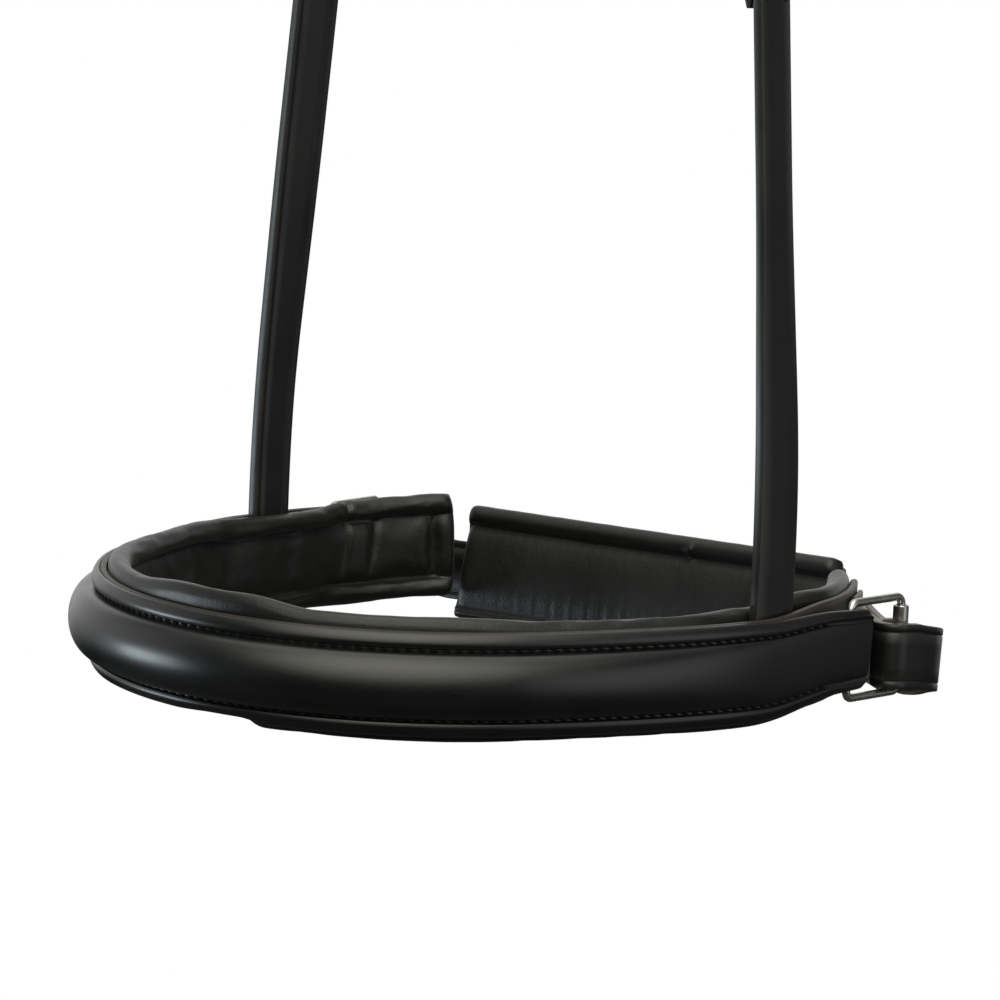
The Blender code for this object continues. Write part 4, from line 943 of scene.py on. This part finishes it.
def chin_flesh(point):
    """The undyed inner side shows near the loop that the strap runs through, and was blacked further on."""
    return ease(point.x, 10 * MM, 60 * MM)


chin_strap = strap("chin_strap_leather", [point for point, _ in chin_points], lambda n: chin_points[n][1],
                   bridle_leather("chin_leather", 0.4), chin_width, chin_thickness, 0.2 * MM, chin_flesh)
chin_origin, chin_out, chin_up = chin_directions(CHIN_MIDDLE)
chin_along = Vector((math.cos(CHIN_HEADING), math.sin(CHIN_HEADING), 0))


def chin_frame(u, out):
    """Local frame on the chin strap: X up across the strap, Y towards the near side, Z outward."""
    return local_frame(chin_origin + chin_along * u + chin_out * out, chin_up, -chin_along)


def punched(piece, punches):
    """Cut holes through a piece and throw the punches away."""
    for number, (matrix, kind, sizes) in enumerate(punches):
        tool = bmesh.new()
        if kind == "round":
            bmesh.ops.create_cone(tool, cap_ends=True, segments=20, radius1=sizes[0], radius2=sizes[0],
                                  depth=2 * sizes[1], matrix=matrix)
        else:
            bmesh.ops.create_cube(tool, size=2.0, matrix=matrix @ Matrix.Diagonal((*sizes, 1.0)))
        bmesh.ops.recalc_face_normals(tool, faces=tool.faces)
        punch = shaped("punch_%d" % number, tool, piece.data.materials[0])
        hole = piece.modifiers.new("hole", "BOOLEAN")
        hole.operation = "DIFFERENCE"
        hole.solver = "EXACT"
        hole.object = punch
        whole = bpy.data.meshes.new_from_object(piece.evaluated_get(bpy.context.evaluated_depsgraph_get()))
        piece.modifiers.remove(hole)
        piece.data = whole
        bpy.data.objects.remove(punch)


HOLE_SPACING, HOLE_RADIUS = 22 * MM, 1.9 * MM
hole_places = [BUCKLE_AT - 1 * MM + number * HOLE_SPACING for number in (-2, -1, 1)]
punches = [(chin_frame(u, BILLET_OUT), "round", (HOLE_RADIUS, 3 * MM)) for u in hole_places]
punches.append((chin_frame(BUCKLE_AT - 1.5 * MM, BILLET_OUT), "slot", (1.8 * MM, 4.5 * MM, 3 * MM)))
punched(chin_strap, punches)
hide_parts("chin_strap")
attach(chin_strap, "noseband")

spots = []
for s in stations(CHIN_LENGTH - 15 * MM, CHIN_LENGTH - 6.5 * MM, 2.8 * MM):
    _, outward, up = chin_directions(s)
    for z in (-7 * MM, 7 * MM):
        out = CHIN_THICK / 2 + 0.05 * MM
        spots.append((on_chin(s, out) + up * z, on_chin(s + MM, out) - on_chin(s - MM, out), outward))
stitches("off_turn_stitches", spots, thread, "noseband", 2.2 * MM)


# Chin buckle. A steel frame and tongue in a thin leather chape sewn on the strap; then a sewn keeper and a
# sliding runner, both bands of black leather, that hold the billet down.

BUCKLE_REACH, BUCKLE_HALF, BUCKLE_WIRE = 15 * MM, 11.6 * MM, 1 * MM
BUCKLE_OUT, BUCKLE_RISE = 4.85 * MM, 7.2 * MM
TONGUE_WIRE = 0.9 * MM
KEEPER_WIDTH, KEEPER_PLY, KEEPER_SLACK = 7 * MM, 1.2 * MM, 0.4 * MM


def buckle_points(half_width, reach, height, corner):
    """Frame outline: pivot bar on local X, front bar at +Y, raised above the strap."""
    outline = rounded_rectangle(half_width, 0.0, reach, corner, 6)
    return [(x, y, height * min(max((y - corner) / (reach - 2 * corner), 0.0), 1.0)) for x, y in outline]


def tongue_points(wire_radius, bar_radius, knee_y, knee_z, tip_y, tip_z):
    """Bent round the pivot bar in a hook, up past the strap, then forward to its tip."""
    hook = bar_radius + 0.15 * MM + wire_radius
    turns = [math.radians(-60 - 15 * n) for n in range(15)]
    points = [(0.0, hook * math.cos(a), hook * math.sin(a)) for a in turns]
    points.append((0.0, knee_y, knee_z))
    for share, height in ((0.2, 0.38), (0.45, 0.7), (0.75, 0.9), (1.0, 1.0)):
        points.append((0.0, knee_y + share * (tip_y - knee_y), knee_z + height * (tip_z - knee_z)))
    return points


def leather_band(name, matrix, half_x, low_z, high_z, finish, body, node):
    """A keeper: a leather band round a strap, local X across the strap, Z out of it, centred along Y."""
    half_x, low_z, high_z = half_x + KEEPER_SLACK, low_z - KEEPER_SLACK, high_z + KEEPER_SLACK
    width, ply = KEEPER_WIDTH, KEEPER_PLY
    outline = rounded_rectangle(half_x + ply / 2, low_z - ply / 2, high_z + ply / 2, 1.3 * MM, 5)
    soft = 0.3 * MM
    half = width / 2
    rim = [(ply / 2, 0.0), (ply / 2, half - soft), (ply / 2 - 0.3 * soft, half - 0.3 * soft),
           (ply / 2 - soft, half), (soft - ply / 2, half), (0.3 * soft - ply / 2, half - 0.3 * soft),
           (-ply / 2, half - soft), (-ply / 2, 0.0)]
    rim += [(v, -y) for v, y in reversed(rim[1:-1])]
    sections = []
    for number, (x, z) in enumerate(outline):
        before, after = outline[number - 1], outline[(number + 1) % len(outline)]
        way = Vector((after[0] - before[0], 0, after[1] - before[1])).normalized()
        out = Vector((way.z, 0, -way.x))
        sections.append([matrix @ (Vector((x, 0, z)) + out * v + Vector((0, y, 0))) for v, y in rim])
    piece = formed(name, sections, finish, ring=True)
    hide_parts(node)
    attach(piece, body)
    return piece


buckle_frame_at = chin_frame(BUCKLE_AT, BUCKLE_OUT)
bent_wire("chin_buckle_wire", buckle_frame_at,
          buckle_points(BUCKLE_HALF, BUCKLE_REACH, BUCKLE_RISE, 2.2 * MM), BUCKLE_WIRE,
          satin_steel("chin_buckle_finish"), "chin_frame", "chin_buckle_frame", side=(0, 0, 1))
bent_wire("chin_tongue_wire", buckle_frame_at,
          tongue_points(TONGUE_WIRE, BUCKLE_WIRE, 1.2 * MM, 7.6 * MM, BUCKLE_REACH + 1.2 * MM,
                        BUCKLE_RISE + BUCKLE_WIRE + 1.2 * MM),
          TONGUE_WIRE, satin_steel("chin_tongue_finish"), "chin_tongue", "chin_buckle_tongue", False,
          (1, 0, 0))

chape_ply = 0.8 * MM
chape_turn = BUCKLE_WIRE + 0.25 * MM + chape_ply / 2
chape_low = CHIN_THICK / 2 + 0.3 * MM + chape_ply / 2 - BUCKLE_OUT
chape_profile = [(21 * MM, chape_low), (14 * MM, chape_low), (6 * MM, chape_low), (2.5 * MM, -chape_turn)]
chape_profile += [(-chape_turn * math.sin(math.pi * n / 12), -chape_turn * math.cos(math.pi * n / 12))
                  for n in range(13)]
chape_profile += [(3 * MM, 0.8 * chape_turn), (8 * MM, chape_low + chape_ply + 0.5 * MM),
                  (14 * MM, chape_low + chape_ply + 0.35 * MM), (21 * MM, chape_low + chape_ply + 0.3 * MM)]
chape_points = [chin_origin + chin_along * (BUCKLE_AT + u) + chin_out * (BUCKLE_OUT + v)
                for u, v in chape_profile]
chin_chape = strap("chin_chape", chape_points, chin_up, bridle_leather("chin_chape_leather", 0.42),
                   CHIN_WIDTH - 1 * MM, chape_ply)
punched(chin_chape, [(chin_frame(BUCKLE_AT - 0.5 * MM, BUCKLE_OUT), "slot", (1.7 * MM, 5 * MM, 3.6 * MM))])
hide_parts("chin_buckle_chape")
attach(chin_chape, "noseband")

band_leather = bridle_leather("keeper_leather", 0.4)
for name, node, u, body in (("chin_keeper_band", "chin_keeper", 12 * MM, "noseband"),
                            ("chin_runner_band", "chin_runner", 26 * MM, "chin_runner")):
    leather_band(name, chin_frame(u, 0), CHIN_WIDTH / 2, -CHIN_THICK / 2, BILLET_OUT + CHIN_THICK / 2,
                 band_leather, body, node)


# Chin pad. Foam under soft leather on a firm backing, gathered along its lower seam, with one drawn tuft.
# Two leather loops sewn on its back hold it on the chin strap.

PAD_HALF_LENGTH = 71 * MM
PAD_OUT, PAD_HEIGHT, PAD_LOWER = -4 * MM, -5 * MM, 1.2
LOW_SEAM = 17.6 * MM


def on_pad(u, out, z):
    """A place on the pad, which hangs a little lower than it stands up."""
    lift = PAD_HEIGHT - CHIN_DROOP
    return chin_origin + chin_along * u + chin_out * out + chin_up * (lift + z * (PAD_LOWER if z < 0 else 1))


def pad_stations(pitch, insets):
    """Places along the pad, closer together at its two ends."""
    near_ends = [side * (PAD_HALF_LENGTH - inset * MM) for side in (1, -1) for inset in insets]
    return stations(-PAD_HALF_LENGTH, PAD_HALF_LENGTH, pitch, near_ends)


board = plank(PAD_OUT, BACKING_THICK, BACKING_HALF, 0.4 * MM)
sections = []
for u in pad_stations(7 * MM, (0.4, 1, 2)):
    sections.append([on_pad(u, out, z) for out, z in rounded_end(board, PAD_HALF_LENGTH - abs(u), 2 * MM)])
pad_backing = formed("chin_pad_board", sections, firm)
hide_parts("chin_pad_backing")
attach(pad_backing, "chin_pad")


def gathered(u, out, z):
    """The pad's face: upright gathers rise from a seam close to its lower edge, and fade out higher up."""
    low = ease(-z, -6 * MM, 8 * MM) * (1 - 0.6 * ease(-z, 10.5 * MM, 14 * MM))
    where = 1 - 0.75 * ease(abs(u - 8 * MM), 26 * MM, 50 * MM)
    fold = 0.07 * MM * wavy(u / (0.8 * MM) + 0.09 * z / MM, 2.0) * low * where
    high = 0.025 * MM * wavy(u / (0.7 * MM), 5.0)
    high *= ease(z, 2 * MM, 10 * MM) * (1 - ease(z, 11 * MM, 14 * MM))
    tuft = 0.9 * MM * dent(u + 17 * MM, 1 * MM) * dent(z - 12 * MM, 2 * MM)
    face = ease(-out, 2.5 * MM, 3.8 * MM)
    down = -z - SEAM_HALF
    if down > 0:
        out *= 1 - 0.25 * ease(down, 0, 1.5 * MM)
        z = (-LOW_SEAM - down * (PAD_HALF * PAD_LOWER - LOW_SEAM) / (PAD_HALF - SEAM_HALF)) / PAD_LOWER
    elif z < 0:
        z *= LOW_SEAM / SEAM_HALF / PAD_LOWER
    return on_pad(u, PAD_OUT - BACKING_THICK - 0.3 * MM + out - (fold + high + tuft) * face, z)


chin_pad, held = lining("chin_pad_leather", pad_stations(0.9 * MM, (0.5, 1.2, 2.4)), PAD_HALF_LENGTH,
                        gathered, 1.9, end_roll=False)
puffed(chin_pad, held, 0.6 * MM, 2.0, 0.0)
smoothed(chin_pad)
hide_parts("chin_pad_lining", "chin_pad_foam")
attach(chin_pad, "chin_pad")

spots = []
for u in stations(3 * MM - PAD_HALF_LENGTH, PAD_HALF_LENGTH - 3 * MM, STITCH):
    for side in (1, -1):
        spots.append((gathered(u, -SEAM_DEPTH - 0.1 * MM, side * SEAM_HALF), chin_along, -chin_out))
stitches("chin_pad_stitches", spots, thread, "chin_pad")

PAD_LOOP_AT, PAD_LOOP_WIDTH, loop_ply, loop_corner = 50 * MM, 12 * MM, 1.4 * MM, 0.9 * MM
loop_rise = CHIN_THICK / 2 + 0.4 * MM + loop_ply / 2
loop_foot = PAD_OUT + 0.3 * MM + loop_ply / 2
loop_reach = CHIN_WIDTH / 2 + 0.4 * MM + loop_ply / 2
quarter = [(loop_corner * math.sin(math.radians(a)), loop_corner * math.cos(math.radians(a)))
           for a in (0, 30, 60, 90)]
loop_line = [(14.6 * MM, loop_foot), (12.6 * MM, loop_foot)]
loop_line += [(loop_reach + loop_corner - x, loop_foot + loop_corner - y) for x, y in quarter]
loop_line += [(loop_reach - loop_corner + y, loop_rise - loop_corner + x) for x, y in quarter]
loop_line += [(5 * MM, loop_rise)]
loop_line += [(-z, out) for z, out in reversed(loop_line)]
for side, sign in (("near", -1), ("off", 1)):
    middle = chin_origin + chin_along * (sign * PAD_LOOP_AT)
    pad_loop = strap(side + "_pad_strap", [middle + chin_out * out + chin_up * z for z, out in loop_line],
                     chin_along, bridle_leather(side + "_pad_strap_leather", 0.42), PAD_LOOP_WIDTH, loop_ply)
    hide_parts(side + "_chin_pad_loop")
    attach(pad_loop, "chin_pad")


# Cheek straps. Each goes down between backing and lining, where it is sewn in. It bends just above the
# band, leans in towards the poll, and ends in a fold round a buckle bar, sewn and held by two keepers.

STRAP_TWIST = math.radians(11)
STRAP_WIDTH, STRAP_THICK, TURN_THICK = 16 * MM, 3.4 * MM, 2.6 * MM
STRAP_ROUTE = [(8 * MM, None), (55 * MM, 600 * MM), (157 * MM, None)]
STRAP_LENGTH = sum(length for length, _ in STRAP_ROUTE)
STRAP_OUT, FOLD_HEIGHT, FOOT_LENGTH, TURN_LENGTH = -6.9 * MM, 17.2 * MM, 25.2 * MM, 43.5 * MM
CHEEK_REACH, CHEEK_WIRE, CHEEK_HALF, CHEEK_TONGUE_WIRE = 15 * MM, 1.3 * MM, 10 * MM, 1.1 * MM
TURN_STEPS = 14
turn_centre = CHEEK_WIRE + 0.35 * MM + TURN_THICK / 2
turn_close = (TURN_THICK + STRAP_THICK) / 2 + 0.4 * MM
foot_line = [FOOT_LENGTH * n / 10 - FOOT_LENGTH for n in range(10)]
run_line = stations(0, STRAP_LENGTH, 4 * MM)
turn_angles = [math.pi * n / TURN_STEPS for n in range(1, TURN_STEPS + 1)]
turn_line = [(turn_centre * (1 - math.cos(a)), turn_centre * math.sin(a)) for a in turn_angles]
way_back = [(turn_close + gap * MM, -down * MM) for gap, down in ((0.9, 3), (0.7, 6), (0.2, 10))]
way_back += [(turn_close, -down) for down in (13 * MM, 20 * MM, 28 * MM, TURN_LENGTH - 3 * MM,
                                              TURN_LENGTH - 1 * MM, TURN_LENGTH)]


def cheek_frame(s, sign):
    """Frame on the strap at a height: X across it, Y towards the horse, Z up along it."""
    up, inward, lean = along(STRAP_ROUTE, s)
    upward = Vector((0, math.sin(lean), math.cos(lean)))
    twist = STRAP_TWIST * ease(s, 30 * MM, 130 * MM)
    across = Vector((math.cos(twist), sign * math.sin(twist), 0))
    across -= upward * across.dot(upward)
    return local_frame((0, inward, up), across, upward.cross(across))


def cheek_line(sign):
    """Centre points and width directions: sewn-in foot, the run, the turn round the bar, the way back."""
    line = [(Vector((0, 0, z)), Vector((1, 0, 0))) for z in foot_line]
    for s in run_line:
        place = cheek_frame(s, sign)
        line.append((place.translation, place.col[0].to_3d()))
    line += [(place @ Vector((0, y, z)), place.col[0].to_3d()) for y, z in turn_line + way_back]
    return line


def cheek_thickness(number):
    """Thinner from the turn round the buckle's bar onwards, and skived at its end."""
    if number < len(foot_line + run_line) - 1:
        return STRAP_THICK
    to_end = len(foot_line + run_line + turn_line + way_back) - 1 - number
    return (1.0, 1.7)[to_end] * MM if to_end < 2 else TURN_THICK


for side, sign in (("near", 1), ("off", -1)):
    centre, forward, outward = band_frame(sign * STRAP_AT[side], NEAR_FLAP_ROUTE, OFF_FLAP_ROUTE)
    fold = centre + outward * STRAP_OUT + upright * FOLD_HEIGHT
    strap_frame = local_frame(fold, forward, -outward)
    line = [(strap_frame @ point, strap_frame.to_3x3() @ across) for point, across in cheek_line(sign)]
    cheek = strap(side + "_cheek_leather", [point for point, _ in line], lambda n: line[n][1],
                  bridle_leather(side + "_cheek_finish", 0.42), STRAP_WIDTH, cheek_thickness, 0.25 * MM)
    top_frame = strap_frame @ cheek_frame(STRAP_LENGTH, sign)
    bar_frame = top_frame @ local_frame((0, turn_centre, 0), (-1, 0, 0), (0, 0, 1))
    punched(cheek, [(bar_frame, "slot", (1.8 * MM, 6.5 * MM, 5 * MM))])
    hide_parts(side + "_cheek_strap", side + "_cheek_anchor")
    side + "_strap"
    fold - upright * 3 * MM
    fold + upright * 5 * MM
    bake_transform(cheek)

    bent_wire(side + "_buckle_wire", bar_frame, buckle_points(CHEEK_HALF, CHEEK_REACH, 0.0, 2.4 * MM),
              CHEEK_WIRE, satin_steel(side + "_buckle_finish"), side + "_buckle", side + "_cheek_buckle",
              side=(0, 0, 1))
    bent_wire(side + "_tongue_wire", bar_frame,
              tongue_points(CHEEK_TONGUE_WIRE, CHEEK_WIRE, 3.4 * MM, 2.6 * MM, CHEEK_REACH + 1.4 * MM,
                            CHEEK_WIRE + CHEEK_TONGUE_WIRE + 0.3 * MM),
              CHEEK_TONGUE_WIRE, satin_steel(side + "_tongue_finish"), side + "_tongue",
              side + "_cheek_tongue", False, (1, 0, 0))
    room_in = TURN_THICK + STRAP_THICK / 2 + KEEPER_SLACK
    room_out = STRAP_THICK / 2 + STRAP_THICK + KEEPER_SLACK
    for piece, down, body in (("keeper", 11 * MM, "_strap"), ("runner", 24 * MM, "_runner")):
        keeper_frame = top_frame @ local_frame((0, 0, -down), (-1, 0, 0), (0, 0, 1))
        leather_band(side + "_" + piece + "_band", keeper_frame, STRAP_WIDTH / 2, -room_in, room_out,
                     band_leather, side + body, side + "_cheek_" + piece)

    spots = []
    aligned = top_frame.to_3x3()
    for down in stations(17 * MM, TURN_LENGTH - 3 * MM, STITCH):
        for x in (-5.4 * MM, 5.4 * MM):
            for y, out in ((turn_close + TURN_THICK / 2, 1), (-STRAP_THICK / 2, -1)):
                spots.append((top_frame @ Vector((x, y, -down)), aligned @ upright,
                              aligned @ Vector((0, out, 0))))
    stitches(side + "_turn_stitches", spots, thread, side + "_strap")
